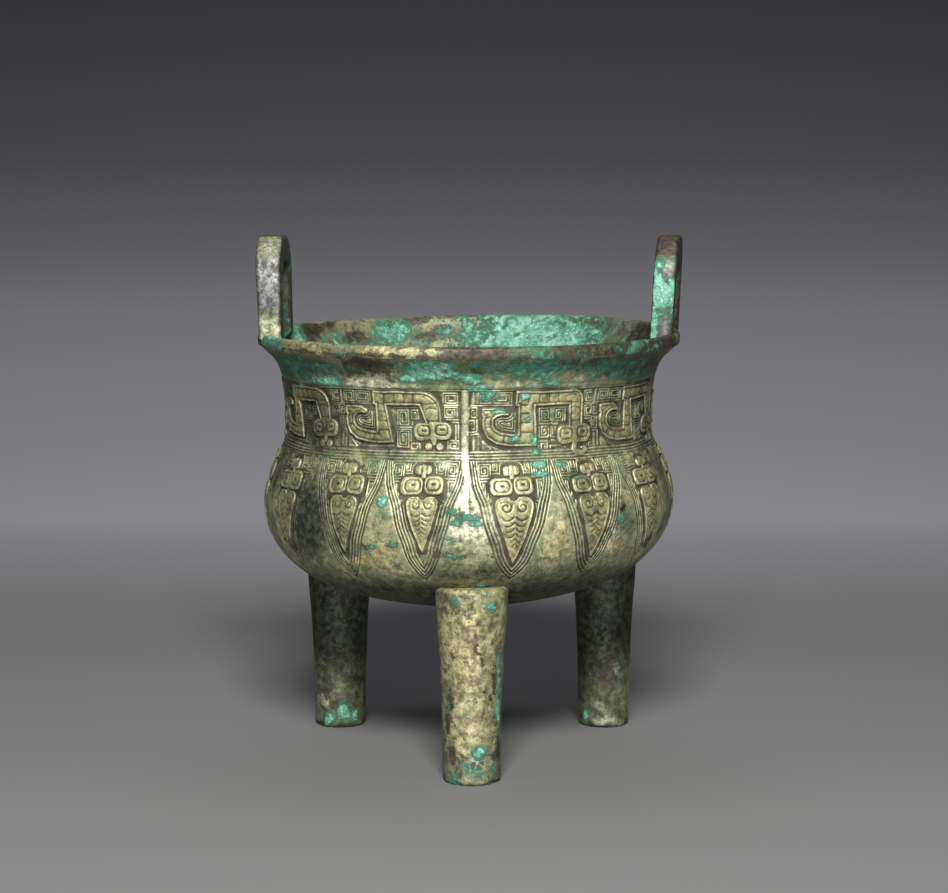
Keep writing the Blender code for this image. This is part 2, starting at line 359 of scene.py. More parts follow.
# Leiwen of a dragon's ground: left, top, right and low edges, in degrees and units, and two flips.
# Runs and cuts are paths of such places, and limbs have a half width in units as well.
DRAGON_CELLS = (
    (2.7, 42.4, 6.5, 52.4, False, False), (7.4, 42.4, 12.6, 52.6, True, False),
    (0.3, 56.6, 2.5, 65.8, False, False), (0.3, 68.6, 2.5, 79.4, True, True),
    (36.5, 42.6, 40.8, 53.0, False, False), (36.9, 57.2, 40.8, 67.4, True, False),
    (37.9, 90.6, 41.3, 98.6, False, False),
)
UPRIGHT_CELLS = (
    (21.3, 58.4, 25.0, 70.8, False, False), (26.0, 58.4, 29.8, 70.8, True, False),
    (21.3, 76.4, 24.3, 85.6, False, True), (25.2, 76.4, 26.6, 85.6, True, True),
    (21.3, 89.0, 24.0, 98.4, False, False), (25.0, 93.8, 30.0, 98.8, True, False),
)
LEANING_CELLS = (
    (21.9, 60.6, 25.4, 75.4, False, False), (26.5, 60.6, 28.6, 69.6, True, False),
    (21.8, 82.2, 25.4, 97.6, False, True), (26.3, 94.0, 29.0, 99.0, True, False),
)
DRAGON_RUNS = (
    [(0.7, 54.8), (12.8, 54.8)], [(1.4, 41.6), (1.4, 53.2)], [(2.9, 81.6), (2.9, 99.0)],
    [(0.8, 81.6), (2.9, 81.6)], [(1.5, 84.4), (1.5, 99.0)],
    [(4.4, 88.8), (4.4, 98.2), (7.4, 98.2), (4.4, 88.8)], [(6.7, 93.4), (9.4, 97.4), (20.4, 96.8)],
    [(36.6, 55.2), (41.2, 55.2)], [(37.3, 69.8), (41.3, 69.8)], [(38.8, 72.4), (41.2, 72.4), (41.2, 88.0)],
    [(40.2, 75.0), (40.2, 88.6)],
)
UPRIGHT_RUNS = (
    [(25.5, 57.4), (25.5, 72.4)], [(21.2, 73.6), (27.4, 73.6)], [(25.6, 88.4), (28.4, 91.4)],
)
LEANING_RUNS = (
    [(21.3, 78.0), (26.6, 78.0)], [(21.3, 80.2), (26.2, 80.2), (26.2, 91.6)], [(26.6, 72.4), (26.6, 76.4)],
    [(20.8, 57.8), (28.4, 57.8)],
)
NOSE = ((33.4, 88.0, 5.4), (33.7, 96.0, 2.2))
HOOK = (
    (33.4, 88.0, 5.2), (33.2, 93.5, 3.1), (32.9, 97.8, 3.1), (33.6, 101.0, 2.9), (35.6, 101.8, 2.4),
    (37.3, 99.6, 2.0), (36.8, 97.0, 1.7), (35.7, 97.2, 1.2),
)
TAIL = (
    (10.6, 61.9, 2.6), (9.0, 60.6, 3.6), (7.0, 61.4, 4.6), (5.4, 65.0, 5.2), (4.95, 70.0, 5.3),
    (5.1, 76.0, 5.3), (6.1, 81.5, 5.6), (8.4, 86.0, 5.9), (12.0, 88.0, 6.0), (17.5, 88.0, 6.0),
)
DRAGON_CUTS = (
    [(17.6, 44.4), (17.6, 52.0)], [(21.0, 44.4), (21.0, 52.0)], [(24.1, 44.4), (24.1, 52.0)],
    [(27.2, 44.4), (27.2, 52.0)], [(30.0, 46.8), (31.6, 44.8), (33.2, 46.4)],
    [(29.6, 53.4), (31.4, 54.2), (34.0, 53.0)], [(15.9, 54.2), (17.6, 54.2)], [(15.9, 62.2), (18.0, 62.2)],
    [(15.9, 71.2), (18.4, 71.2)], [(15.9, 80.6), (19.0, 80.6)], [(31.0, 59.6), (32.6, 57.4), (34.4, 59.0)],
    [(31.2, 70.2), (32.9, 71.0), (34.8, 70.2)], [(10.6, 84.2), (10.0, 91.6)], [(13.8, 84.4), (13.6, 92.2)],
    [(4.2, 66.5), (6.0, 66.5)], [(4.2, 76.0), (6.2, 75.4)], [(7.4, 81.6), (5.8, 86.4)],
)


def in_units(path):
    """A path with its degrees turned to ornament units."""
    return [(point[0] * DEGREE, *point[1:]) for point in path]


def dragon(a, y, head, leaning):
    """Height in mm and raised share of one dragon and its ground.

    a is in degrees from the left of its field, y in units down the face, and head is how far its
    head sits above the usual. A leaning dragon has two nostrils and an upright one a hooked snout.
    """
    x = a * DEGREE
    head_y = y + head
    shift = 0.0 if leaning else 0.6

    def part(middle, level, half_wide, half_tall, corner, down=y):
        """Distance to a rounded rectangle whose place and width across are in degrees."""
        return box(x, down, middle * DEGREE, level, half_wide * DEGREE, half_tall, corner)

    cells = DRAGON_CELLS + (LEANING_CELLS if leaning else UPRIGHT_CELLS)
    paths = DRAGON_RUNS + (LEANING_RUNS if leaning else UPRIGHT_RUNS)
    scaled = [(c[0] * DEGREE, c[1], c[2] * DEGREE, *c[3:]) for c in cells]
    lines = np.maximum(leiwen(x, y, scaled), runs(x, y, [in_units(path) for path in paths]))

    post_left, neck_right = 14.6, 35.9
    post_right = np.interp(y, (56.0, 94.0), (18.3 if leaning else 20.0, 20.6))
    neck_left = np.interp(y, (54.0, 74.0), (28.8 if leaning else 30.8, 31.0))
    band = lowest(
        limb(x - shift * DEGREE, y, in_units(TAIL)),
        part(5.15 + shift, 61.4, 1.9, 4.6, 2.2),
        part((post_left + post_right) / 2, 68.0, (post_right - post_left) / 2, 26.0, 1.6),
        part(24.4, 48.3, 10.7, 7.4, 1.4),
        part((neck_left + neck_right) / 2, 62.0, (neck_right - neck_left) / 2, 17.0, 1.2),
    )
    arch = part(25.6, 66.8, 10.3, 25.9, 21.0 if leaning else 10.0)
    band = np.where((a > 30) & (y < 62), np.maximum(band, arch), band)
    coil = (a > 6.2) & (a < 14.4) & (y > 62) & (y < 83)
    for reach in (2.6, 5.1, 7.6, 10.1):
        lines = np.where(coil, np.maximum(lines, ridge(np.abs(band - reach), 0.5, 0.36)), lines)
    dips = 0.30 * cushion(x, y, [in_units(path) for path in DRAGON_CUTS])
    body = band_profile(band, BAND_TOP, 3.0, BAND_TOP, 1.3, dips, 0.10)

    nostrils = np.hypot(np.abs(x - 33.7 * DEGREE) - 1.75 * DEGREE, head_y - 99.0)
    snout = limb(x, head_y, in_units(NOSE if leaning else HOOK))
    if leaning:
        snout = np.minimum(snout, nostrils - 3.9)
    face = lowest(
        part(30.1, 84.0, 3.0, 9.0, 7.6, head_y),
        part(36.1, 83.2, 3.1, 9.0, 7.6, head_y),
        part(33.2, 79.6, 1.4, 6.0, 2.0, head_y),
        snout,
    )
    head_height = face_profile(face, 0.74, 2.2)
    for middle, level, half in ((30.2, 83.2, 1.95), (35.95, 82.0, 1.9)):
        pupil = part(middle + 0.2, level - 0.4, 0.8, 0.95, 0.9, head_y)
        head_height += eye_profile(part(middle, level, half, 5.1, 3.8, head_y), pupil)
    if leaning:
        head_height -= 0.22 * ridge(np.abs(nostrils - 1.6), 0.4, 0.4)
    crease = ridge(np.abs(x - 33.2 * DEGREE), 0.3, 0.4) * window(head_y, 86.0, 89.0, 94.0, 96.0)
    return on_ground(lines, ((band, body), (face, head_height - 0.16 * crease)))


LEAF_DEGREE = 3.58  # ornament units in one degree, on the leaves
# Distances down a hanging leaf and the cicada in it, in units, and half widths there, in degrees.
LEAF_EDGE = (
    (108.0, 11.7), (120.0, 11.3), (130.0, 11.0), (140.0, 10.2), (150.0, 9.2), (160.0, 8.55), (170.0, 7.85),
    (180.0, 6.85), (190.0, 5.85), (200.0, 5.1), (210.0, 3.95), (220.0, 2.15), (228.0, 0.0),
)
CICADA_EDGE = (
    (143.0, 5.0), (147.0, 5.35), (153.0, 5.35), (160.0, 4.9), (170.0, 4.0), (180.0, 3.2), (190.0, 2.1),
    (200.0, 1.1), (209.0, 0.0),
)
# On one side of the leaf's middle: leiwen with its upward flip, runs, and the cicada's scales, as
# their distance down, middle and half width in units.
LEAF_CELLS = (
    (6.0, 109.6, 9.2, 121.0, False), (4.1, 109.6, 5.3, 116.0, True), (6.9, 126.4, 8.8, 144.4, False),
    (6.0, 149.4, 7.2, 157.0, True),
)
LEAF_RUNS = (
    [(2.6, 108.8), (3.3, 111.6), (3.5, 120.4)], [(3.9, 119.0), (5.3, 119.0)],
    [(3.9, 122.2), (6.4, 123.6), (9.4, 123.6)], [(6.4, 146.8), (8.6, 146.8)],
)
SCALE_ROWS = (
    (163.5, 7.0, 6.0), (168.9, 6.7, 5.7), (174.0, 5.9, 5.0), (179.2, 5.0, 4.2), (184.3, 4.0, 3.3),
    (189.2, 3.0, 2.4),
)


def edge_distance(x, y, edge):
    """Signed distance to a shape that is symmetrical about x = 0, from its half widths."""
    ys = np.array([station[0] for station in edge])
    halves = np.array([station[1] for station in edge]) * LEAF_DEGREE
    half = np.interp(y, ys, halves)
    lean = np.interp(y, (ys[1:] + ys[:-1]) / 2, np.diff(halves) / np.diff(ys))
    side = (np.abs(x) - half) / np.sqrt(1 + lean * lean)
    return np.where(y > ys[-1], np.hypot(x, (y - ys[-1]) * 0.5), side)


def leaf(a, y, slim, small, down):
    """Height in mm, cover and raised share of one hanging leaf, a in degrees from its middle."""
    x = a * LEAF_DEGREE
    face_y = y - down
    outline = edge_distance(x / (1 - slim * smooth(y, 108.0, 165.0)), y, LEAF_EDGE)
    pitch = np.interp(y, (118.0, 131.0, 157.0), (2.6, 3.1, 3.5))
    depth = -outline / pitch
    lines = ridge(np.abs(depth - 3.5) * pitch, 0.55, 0.52) * smooth(y, 147.5, 149.0)
    for k in range(3):
        lines = np.maximum(lines, ridge(np.abs(depth - 0.45 - k) * pitch, 0.55, 0.52))
    cells, paths, cuts = [], [], []
    for side in (-1, 1):
        degree = side * LEAF_DEGREE
        for near, top, far, low, flip_y in LEAF_CELLS:
            left, right = sorted((near * degree, far * degree))
            cells.append((left, top, right, low, side < 0, flip_y))
        paths += [[(px * degree, py) for px, py in path] for path in LEAF_RUNS]
        cuts.append(round_spiral(side * 8.0, 152.4, 6.4, 1.3, 50.0 * side - 90.0, -side))
        for level, middle, half in SCALE_ROWS:
            arc = [(side * middle + half * t, level + 1.6 - 3.4 * t * t) for t in np.linspace(-1, 1, 9)]
            cuts.append(arc)
    fine = np.maximum(leiwen(x, y, cells), runs(x, y, paths))
    lines = np.maximum(lines, fine * smooth(depth, 2.8, 2.95))

    shoulder = 141.5  # the cicada shrinks toward this distance down
    bx, by = x / small, shoulder + (face_y - shoulder) / small
    body = edge_distance(bx, by, CICADA_EDGE)
    body = np.maximum(body, box(bx, by, 0.0, 176.0, 5.4 * LEAF_DEGREE, 33.6, 8.6))
    body = np.maximum(body, 4.4 - np.hypot(bx, by - 141.4)) * small
    near = (np.abs(bx) < 22) & (by > 138) & (by < 198)
    dips = np.zeros(x.shape)
    dips[near] = cushion(bx[near], by[near], cuts)
    cicada = band_profile(body, 0.56, 3.1, 0.70, 2.2, 0.42 * dips, 0.30)

    def part(middle, level, half_wide, half_tall, corner):
        """Distance to a rounded rectangle of the face, with its middle across in degrees."""
        return box(x, face_y, middle * LEAF_DEGREE, level, half_wide, half_tall, corner)

    face = lowest(
        part(-3.25, 132.4, 3.25 * LEAF_DEGREE, 8.8, 6.4),
        part(2.9, 131.9, 2.8 * LEAF_DEGREE, 9.2, 6.4),
        part(-0.1, 118.6, 0.8 * LEAF_DEGREE, 7.4, 2.4),
        part(-1.45, 117.4, 1.25 * LEAF_DEGREE, 5.2, 4.2),
        part(1.15, 116.9, 1.15 * LEAF_DEGREE, 5.0, 4.0),
    )
    face_height = face_profile(face, 0.76, 2.0)
    face_height += eye_profile(part(-3.0, 132.4, 7.6, 5.7, 4.4), part(-2.9, 132.2, 1.9, 0.9, 0.85))
    face_height += eye_profile(part(2.75, 131.6, 6.6, 5.6, 4.2), part(2.8, 131.4, 1.9, 0.9, 0.85))
    crease = ridge(np.abs(np.abs(x + 0.1 * LEAF_DEGREE) - 2.7), 0.3, 0.4)
    crease = crease * window(face_y, 111.0, 113.0, 121.0, 123.0)
    height, lifted = on_ground(lines, ((body, cicada), (face, face_height - 0.20 * crease)))
    return height, inside(np.maximum(outline, 107.2 - y) - 0.9, 0.6), lifted


# Each dragon: angle where its field starts, its width as a share of 41 degrees, how far its head
# rises, and whether it leans.
DRAGONS = (
    (0.0, 1.0, 0.0, False), (39.3, 1.02, 1.0, True), (80.8, 0.925, 2.0, False),
    (119.6, 0.965, 4.0, False), (159.3, 0.965, 2.0, True), (199.0, 0.955, 3.0, False),
    (-118.3, 0.957, 4.0, False), (-80.3, 0.957, 5.0, True), (-42.3, 0.957, 6.0, True),
)
# Each leaf: angle of its middle, how much it slims toward the tip, size of its cicada, and how
# far its face and cicada sit down, in units.
LEAVES = (
    (12.2, 0.0, 1.0, 0.0), (36.0, 0.0, 0.95, 1.4), (59.9, 0.03, 0.93, 1.0), (84.0, 0.05, 0.90, 0.0),
    (107.8, 0.02, 0.96, 0.4), (131.8, 0.06, 0.90, 0.0), (155.8, 0.0, 1.0, 0.8), (179.9, 0.05, 0.88, 0.2),
    (203.8, 0.02, 0.94, 1.0), (227.8, 0.06, 0.90, 0.0), (-108.0, 0.03, 0.94, 0.6), (-84.1, 0.06, 0.90, 0.0),
    (-60.4, 0.04, 0.88, 0.6), (-35.8, 0.08, 0.84, -0.6), (-12.5, 0.13, 0.83, -1.6),
)
# Distances down of the frieze's parts, in units: its two ends, its border lines, the bead above
# it, and the top of the dragons' field.
FRIEZE_ENDS = (38.4, 39.2, 106.2, 107.0)
BORDER_LINES = (39.9, 98.5, 101.4, 104.2)
TOP_BEAD = 36.6
FIELD_TOP = 41.0
STRETCH = 0.011  # share that a dragon is squeezed upward for each step that its head rises
HEAD_STEP = 0.35  # units in one such step
SAG = 6.0  # units, twice how much farther down the ornament is halfway between two seams


def sag(angle):
    """How much farther down the ornament is here than at a mould seam, in units."""
    from_seam = np.abs((angle - SEAM + SECTION / 2) % SECTION - SECTION / 2)
    return SAG * (1 - np.cos(np.radians(from_seam)))


def carved_grid(columns, rows):
    """The ornament over the whole carved part of the outer face.

    Returns the angles, the distances down, the height in mm and the raised share.
    """
    angles = SEAM + np.arange(columns + 1) * 360.0 / columns
    downs = np.arange(rows + 1) * CARVED_DOWN / rows
    a, d = np.meshgrid(angles, downs)
    here = on_body(a, d, 0.0)
    sway = 0.50 * noise(here, 7.0, 401) + 0.10 * noise(here, 2.6, 403)
    y = d / UNIT - sag(a) + 0.50 * noise(here, 7.0, 405) + 0.10 * noise(here, 2.6, 407)
    joined(sway, y)

    ornament = window(y, *FRIEZE_ENDS)
    raised = np.zeros(a.shape)
    height = GROUND * ornament + 0.12 * ridge(np.abs(y - TOP_BEAD), 1.3, 0.9)
    for line in BORDER_LINES:
        height += (LINE_TOP - GROUND) * ridge(np.abs(y - line), 0.66, 0.4) * ornament

    def field(first, last, top, low):
        """Rows and columns between two angles and two distances down, and the columns' angles."""
        start = math.floor((first - SEAM) / 360.0 * columns)
        index = np.arange(start, math.ceil((last - SEAM) / 360.0 * columns) + 1)
        down = slice(int(top * UNIT * rows / CARVED_DOWN), int(low * UNIT * rows / CARVED_DOWN))
        return down, index % columns, SEAM + index * 360.0 / columns

    def stamp(block, cover, shape_height, lifted):
        """Sets a shape into the grids where it covers them."""
        for target, value in ((height, shape_height), (raised, lifted)):
            target[block] = target[block] * (1 - cover) + value * cover
        ornament[block] = np.maximum(ornament[block], cover)

    for start, width, head, leaning in DRAGONS:
        down, across, at = field(start - 0.5, start + 41.6 * width, 36, 116)
        block = (down, across)
        local_a = (at - start) / width + sway[block] / DEGREE
        stretched = FIELD_TOP + (y[block] - FIELD_TOP) * (1 + head * STRETCH)
        shape_height, lifted = dragon(local_a, stretched, head * HEAD_STEP, leaning)
        cover = window(y[block], 40.9, 41.5, 96.0, 96.6) * window(local_a, 0.0, 0.25, 41.2, 41.5)
        stamp(block, np.maximum(cover, lifted * (y[block] < 104)), shape_height, lifted)

    for middle, slim, small, sunk in LEAVES:
        down, across, at = field(middle - 12.9, middle + 12.9, 102, 260)
        block = (down, across)
        local_a = at - middle + sway[block] / LEAF_DEGREE
        shape_height, cover, lifted = leaf(local_a, y[block], slim, small, sunk)
        stamp(block, cover * smooth(y[block], 106.9, 107.5), shape_height, lifted)

    for seam in (SEAM, SEAM + SECTION, SEAM + 2 * SECTION, SEAM + 360.0):
        off = np.abs(a - seam)
        clear = ridge(off, 1.1, 0.35) * window(y, 38.0, 42.0, 112.0, 124.0)
        height = height * (1 - clear) + 0.10 * clear
        raised *= 1 - clear
        ornament *= 1 - clear
        height += 0.34 * hump(off, 0.0, 0.62) * window(y, 36.0, 44.0, 150.0, 226.0)
    clogged = 0.22 * smooth(octaves(here, 9.0, 411, 2), 0.15, 0.6) * ornament
    height = np.maximum(height, GROUND + clogged)
    height = 0.5 * (height + blurred(height, 1))
    joined(height, raised)
    return a, d, height, raised


def blurred(grid, reach):
    """Box blur that wraps round the vessel."""
    padded = np.concatenate([grid[:, -reach - 1 : -1], grid, grid[:, 1 : reach + 1]], axis=1)
    total = np.cumsum(np.pad(padded, ((0, 0), (1, 0))), axis=1)
    width = 2 * reach + 1
    out = (total[:, width:] - total[:, :-width]) / width
    padded = np.pad(out, ((reach, reach), (0, 0)), mode="edge")
    total = np.cumsum(np.pad(padded, ((1, 0), (0, 0))), axis=0)
    return (total[width:] - total[:-width]) / width


# ---------------------------------------------------------------- adaptive skin

MASK_WEIGHT = 0.16  # mm of flatness that a full step in a colour mask counts for


def adaptive_faces(points, soft, tile, flatness, share):
    """Right-angled triangles over a grid of points, small only where the surface needs them.

    soft holds the colour masks, which count too, and share how much each column's detail counts.
    Returns the rows and columns of each triangle's corners; its right angle is the third.
    """
    rows, columns = points.shape[0] - 1, points.shape[1] - 1
    corners = np.meshgrid(np.arange(0, rows, tile), np.arange(0, columns, tile), indexing="ij")
    r0, c0 = (grid.ravel() for grid in corners)
    low, high = (r0, c0), (r0 + tile, c0 + tile)
    first = np.stack([*low, *high, r0, c0 + tile], 1)
    second = np.stack([*high, *low, r0 + tile, c0], 1)
    level = np.concatenate([first, second]).astype(np.int32)
    depth = 2 * int(math.log2(tile))

    def middle(t):
        """Row and column halfway along each triangle's long side."""
        return (t[:, 0] + t[:, 2]) // 2, (t[:, 1] + t[:, 3]) // 2

    def children(t):
        """The two halves of each triangle."""
        mr, mc = middle(t)
        left = np.stack([t[:, 4], t[:, 5], t[:, 0], t[:, 1], mr, mc], 1)
        right = np.stack([t[:, 2], t[:, 3], t[:, 4], t[:, 5], mr, mc], 1)
        return left, right

    levels = [level]
    for _ in range(depth - 1):
        levels.append(np.concatenate(children(levels[-1])))
    error = np.zeros(points.shape[:2], np.float32)
    for k in range(depth - 1, -1, -1):
        t = levels[k]
        mr, mc = middle(t)
        one, two = (t[:, 0], t[:, 1]), (t[:, 2], t[:, 3])
        off = np.linalg.norm(points[mr, mc] - (points[one] + points[two]) / 2, axis=1)
        shade = np.abs(soft[mr, mc] - (soft[one] + soft[two]) / 2).max(axis=1)
        off = np.maximum(off, MASK_WEIGHT * shade) * share[mc]
        if k < depth - 1:
            for child in children(t):
                off = np.maximum(off, error[middle(child)])
        np.maximum.at(error, (mr, mc), off)
        error[:, 0] = error[:, -1] = np.maximum(error[:, 0], error[:, -1])

    done = []
    active = level
    for _ in range(depth):
        split = error[middle(active)] > flatness
        done.append(active[~split])
        active = np.concatenate(children(active[split]))
    done.append(active)
    return np.concatenate(done)


def grid_normals(points):
    """Unit normals of a grid of points that closes round."""
    padded = np.concatenate([points[:, -2:-1], points, points[:, 1:2]], axis=1)
    normal = np.cross(np.gradient(points, axis=0), padded[:, 2:] - padded[:, :-2])
    return normal / np.maximum(np.linalg.norm(normal, axis=-1, keepdims=True), 1e-9)


# ---------------------------------------------------------------- colour masks

# Patches on the outer face: angle, units down from the lip, half width in degrees, half height in
# units, strength. The first list is bright corrosion.
VERDIGRIS = (
    (-62, 18, 24, 20, 0.82), (-47, 33, 8, 6, 0.95), (-11, 16, 9, 17, 1.05), (-16, 27, 7, 7, 0.95),
    (-3, 24, 4, 9, 0.8), (1.5, 29, 2.6, 7, 1.2), (3.5, 38, 4.2, 5, 1.0), (5.5, 45, 3.4, 6, 1.15),
    (16, 14, 14, 20, 0.9), (46, 18, 24, 18, 0.7), (2.8, 8, 2.4, 4, 0.9), (-4, 22, 1.6, 6, 0.9),
    (8, 22, 1.8, 6, 0.9), (8, 26, 5, 5, 0.7), (24, 33, 4, 4, 0.95), (16.6, 46, 2.0, 5, 1.0),
    (9.5, 60, 4.0, 2.6, 0.85), (17.3, 66, 1.2, 4, 0.7), (13.5, 87, 2.4, 3.4, 0.8), (19.6, 86, 1.8, 7, 0.8),
    (20.5, 98, 1.6, 6, 0.75), (60, 30, 8, 10, 0.8), (38, 27, 8, 5, 0.5), (21, 111.5, 2.6, 4.0, 1.1),
    (20.8, 121.5, 2.6, 3.0, 1.05), (27, 113, 2.4, 4, 0.72), (32.6, 126.5, 1.9, 2.6, 0.85),
    (0.4, 161, 2.8, 3.4, 0.95), (1.6, 167, 2.2, 3.4, 0.85), (-2.4, 165, 2.4, 3.0, 0.9),
    (-4.4, 155, 2.0, 4.6, 0.8), (-5.4, 180, 1.5, 1.8, 1.0), (-3.4, 198, 3.0, 1.8, 1.0),
    (45.6, 171, 1.5, 5, 1.0), (-23.8, 146, 2.0, 6.4, 0.8), (-26.5, 190, 1.3, 3.0, 0.95),
    (-20.6, 188, 1.2, 3.6, 0.85), (-44, 104, 2, 3, 0.6), (-60, 140, 2.4, 6, 0.6), (4.5, 238, 2.6, 4, 0.9),
    (110, 20, 24, 16, 0.8), (150, 34, 14, 8, 0.7), (196, 18, 26, 16, 0.8), (240, 26, 14, 12, 0.8),
    (136, 150, 4, 10, 0.8), (168, 190, 5, 6, 0.8), (214, 160, 3, 8, 0.8), (-100, 176, 4, 8, 0.7),
    (96, 150, 3, 8, 0.7),
)
# Dark bare patches, which also darken the crusts over them.
DARK = (
    (12, 12, 14, 12, 0.75), (62, 18, 14, 20, 0.85), (-64, 12, 14, 12, 0.6), (-58, 18, 26, 22, 0.36),
    (3.0, 22, 2.0, 5, 0.9), (-3, 158, 8, 14, 0.44), (-3.4, 198, 7, 7, 0.44), (-26.5, 190, 4, 8, 0.44),
    (-20.6, 188, 4, 8, 0.44), (33, 127, 5, 8, 0.44), (45.6, 171, 5, 12, 0.44), (-28, 13, 10, 13, 1.1),
    (-38, 22, 6, 8, 0.7), (1.2, 17, 3.4, 6, 0.95), (12, 20, 5, 4, 0.6), (38, 11, 12, 10, 1.1),
    (48, 26, 8, 8, 0.7), (-78, 20, 14, 16, 0.8), (76, 18, 14, 16, 0.9), (46, 162, 1.3, 4.6, 1.3),
    (4, 217, 0.9, 1.8, 1.3), (-22, 222, 4, 3, 0.5), (16, 226, 6, 4, 0.5), (62, 196, 8, 12, 0.5),
    (-58, 200, 8, 12, 0.45), (-38, 66, 4, 16, 0.35), (130, 14, 18, 12, 0.9), (172, 26, 14, 10, 0.9),
    (228, 10, 16, 10, 0.9), (150, 210, 16, 10, 0.6), (206, 224, 18, 10, 0.6),
)
# Pale patches: worn or bleached ones, and painted highlight along the seam and on the front of the belly.
PALE = (
    (-1, 118, 4.6, 50, 0.82), (0, 168, 9, 26, 0.90), (8.5, 131, 3.2, 8, 1.0), (2.5, 128, 3.4, 22, 0.8),
    (-4, 176, 6, 24, 0.55), (-28, 33, 14, 5, 1.0), (13, 33, 8, 4, 0.75), (17.6, 62, 2.2, 20, 0.7),
    (34, 29, 4, 4, 0.6), (-19, 150, 3.5, 26, 0.5), (24, 160, 3.0, 24, 0.45), (-34, 72, 5, 20, 0.4),
    (44, 185, 5, 18, 0.4),
)
# Yellow and tan stains.
TAN = (
    (-24, 196, 5, 22, 0.95), (-12.5, 188, 3, 12, 0.85), (-20, 222, 9, 10, 0.7), (24, 186, 5, 34, 0.95),
    (37, 170, 5, 30, 0.95), (25, 48, 8, 8, 0.9), (33, 62, 4, 14, 0.8), (44, 196, 6, 20, 0.7),
    (-20, 48, 9, 8, 0.6), (12, 190, 3.5, 18, 0.8), (12.2, 168, 4.4, 26, 0.5), (36.4, 150, 5, 44, 0.7),
    (59.9, 142, 5, 44, 0.85), (33, 86, 5, 9, 0.7), (-30, 206, 6, 10, 0.8), (-60, 190, 12, 20, 0.35),
    (60, 160, 6, 24, 0.55), (150, 180, 20, 24, 0.6), (-130, 190, 18, 24, 0.6),
)
# Darker, greener stretches: patina, and painted shade on the sides that turn away from the lamps.
SHADE = (
    (-52, 70, 13, 36, 1.2), (-26, 66, 9, 30, 0.35), (-30, 118, 12, 10, 0.35), (-50, 165, 10, 44, 1.1),
    (-36, 178, 5, 30, 0.75), (-72, 100, 16, 90, 0.75), (70, 110, 14, 100, 0.7), (-60, 18, 26, 22, 0.8),
    (58, 16, 26, 22, 0.8), (2, 222, 20, 16, 0.7), (-26, 232, 22, 12, 0.6), (34, 234, 22, 10, 0.6),
    (-50, 78, 16, 26, 0.4), (50, 78, 10, 26, 0.45), (150, 120, 30, 60, 0.4), (-150, 80, 30, 60, 0.4),
)


PATCH_REACH = 2.4  # where a patch ends, as a multiple of its size
PATCH_FALL = 0.8  # how steeply a patch fades outward


def turned(angle, start):
    """Degrees from one angle round to another, from -180 to 180."""
    return (angle - start + 180.0) % 360.0 - 180.0


def patches(angle, down, spots):
    """Strength, 0 to about 1, of the named patches here; their ragged edge is the material's."""
    total = np.zeros(np.shape(angle), np.float32)
    for at, units, wide, tall, strength in spots:
        across, along = turned(angle, at), down - units
        near = (np.abs(across) < PATCH_REACH * wide) & (np.abs(along) < PATCH_REACH * tall)
        if near.any():
            reach = (across[near] / wide) ** 2 + (along[near] / tall) ** 2
            total[near] = np.maximum(total[near], strength * np.exp(-PATCH_FALL * reach))
    return total


def body_masks(a, d, cavity, raised):
    """Both paint layers of the outer face, from the patch tables."""
    y = d / UNIT - sag(a)
    green, dark, pale, tan, shade = (patches(a, y, t) for t in (VERDIGRIS, DARK, PALE, TAN, SHADE))
    # Darker toward the bottom of the belly, and in the darker stretches, which hold painted shade on the
    # sides.
    darkening_and_shade = np.maximum(0.9 * smooth(y, 196.0, 262.0), shade)
    return layer(cavity, green, dark, raised), layer(pale, tan, darkening_and_shade, 0.0 * a)


def layer(*masks):
    """Four masks as the channels of one paint layer."""
    return np.clip(np.stack(np.broadcast_arrays(*masks), -1), 0, 1).astype(np.float32)


# ---------------------------------------------------------------- making pieces


def piece(name, points, faces, normals, paint, tone, material):
    """A smooth mesh with its two paint layers, standing for the cast solid."""
    mesh = bpy.data.meshes.new(name)
    mesh.vertices.add(len(points))
    mesh.vertices.foreach_set("co", (points * MM).astype(np.float32).ravel())
    sides = faces.shape[1]
    mesh.loops.add(faces.size)
    mesh.loops.foreach_set("vertex_index", faces.astype(np.int32).ravel())
    mesh.polygons.add(len(faces))
    mesh.polygons.foreach_set("loop_start", np.arange(0, faces.size, sides, dtype=np.int32))
    mesh.polygons.foreach_set("use_smooth", np.ones(len(faces), bool))
    mesh.update(calc_edges=True)
    mesh.validate()
    for label, values in (("paint", paint), ("tone", tone)):
        attribute = mesh.color_attributes.new(label, "FLOAT_COLOR", "POINT")
        attribute.data.foreach_set("color", values.ravel())
    mesh.normals_split_custom_set_from_vertices(normals.astype(np.float32))
    mesh.materials.append(material)
    made = bpy.data.objects.new(name, mesh)
    bpy.context.scene.collection.objects.link(made)
    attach(made, "root")
    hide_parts(NODE)
    print(name, len(faces) * (sides - 2), "triangles", flush=True)


def grid_piece(name, points, paint, tone, material, flip):
    """A grid of points as a piece that closes round: its last column repeats the first."""
    rows, used = points.shape[0], points.shape[1] - 1
    index = np.arange(rows * used).reshape(rows, used)
    after = np.roll(index, -1, axis=1)
    quads = np.stack([index[:-1], index[1:], after[1:], after[:-1]], -1).reshape(-1, 4)
    normals = -grid_normals(points) if flip else grid_normals(points)
    if flip:
        quads = quads[:, ::-1]
    flat, normals, paint, tone = (
        grid[:, :used].reshape(rows * used, -1) for grid in (points, normals, paint, tone)
    )
    piece(name, flat, quads, normals, paint, tone, material)


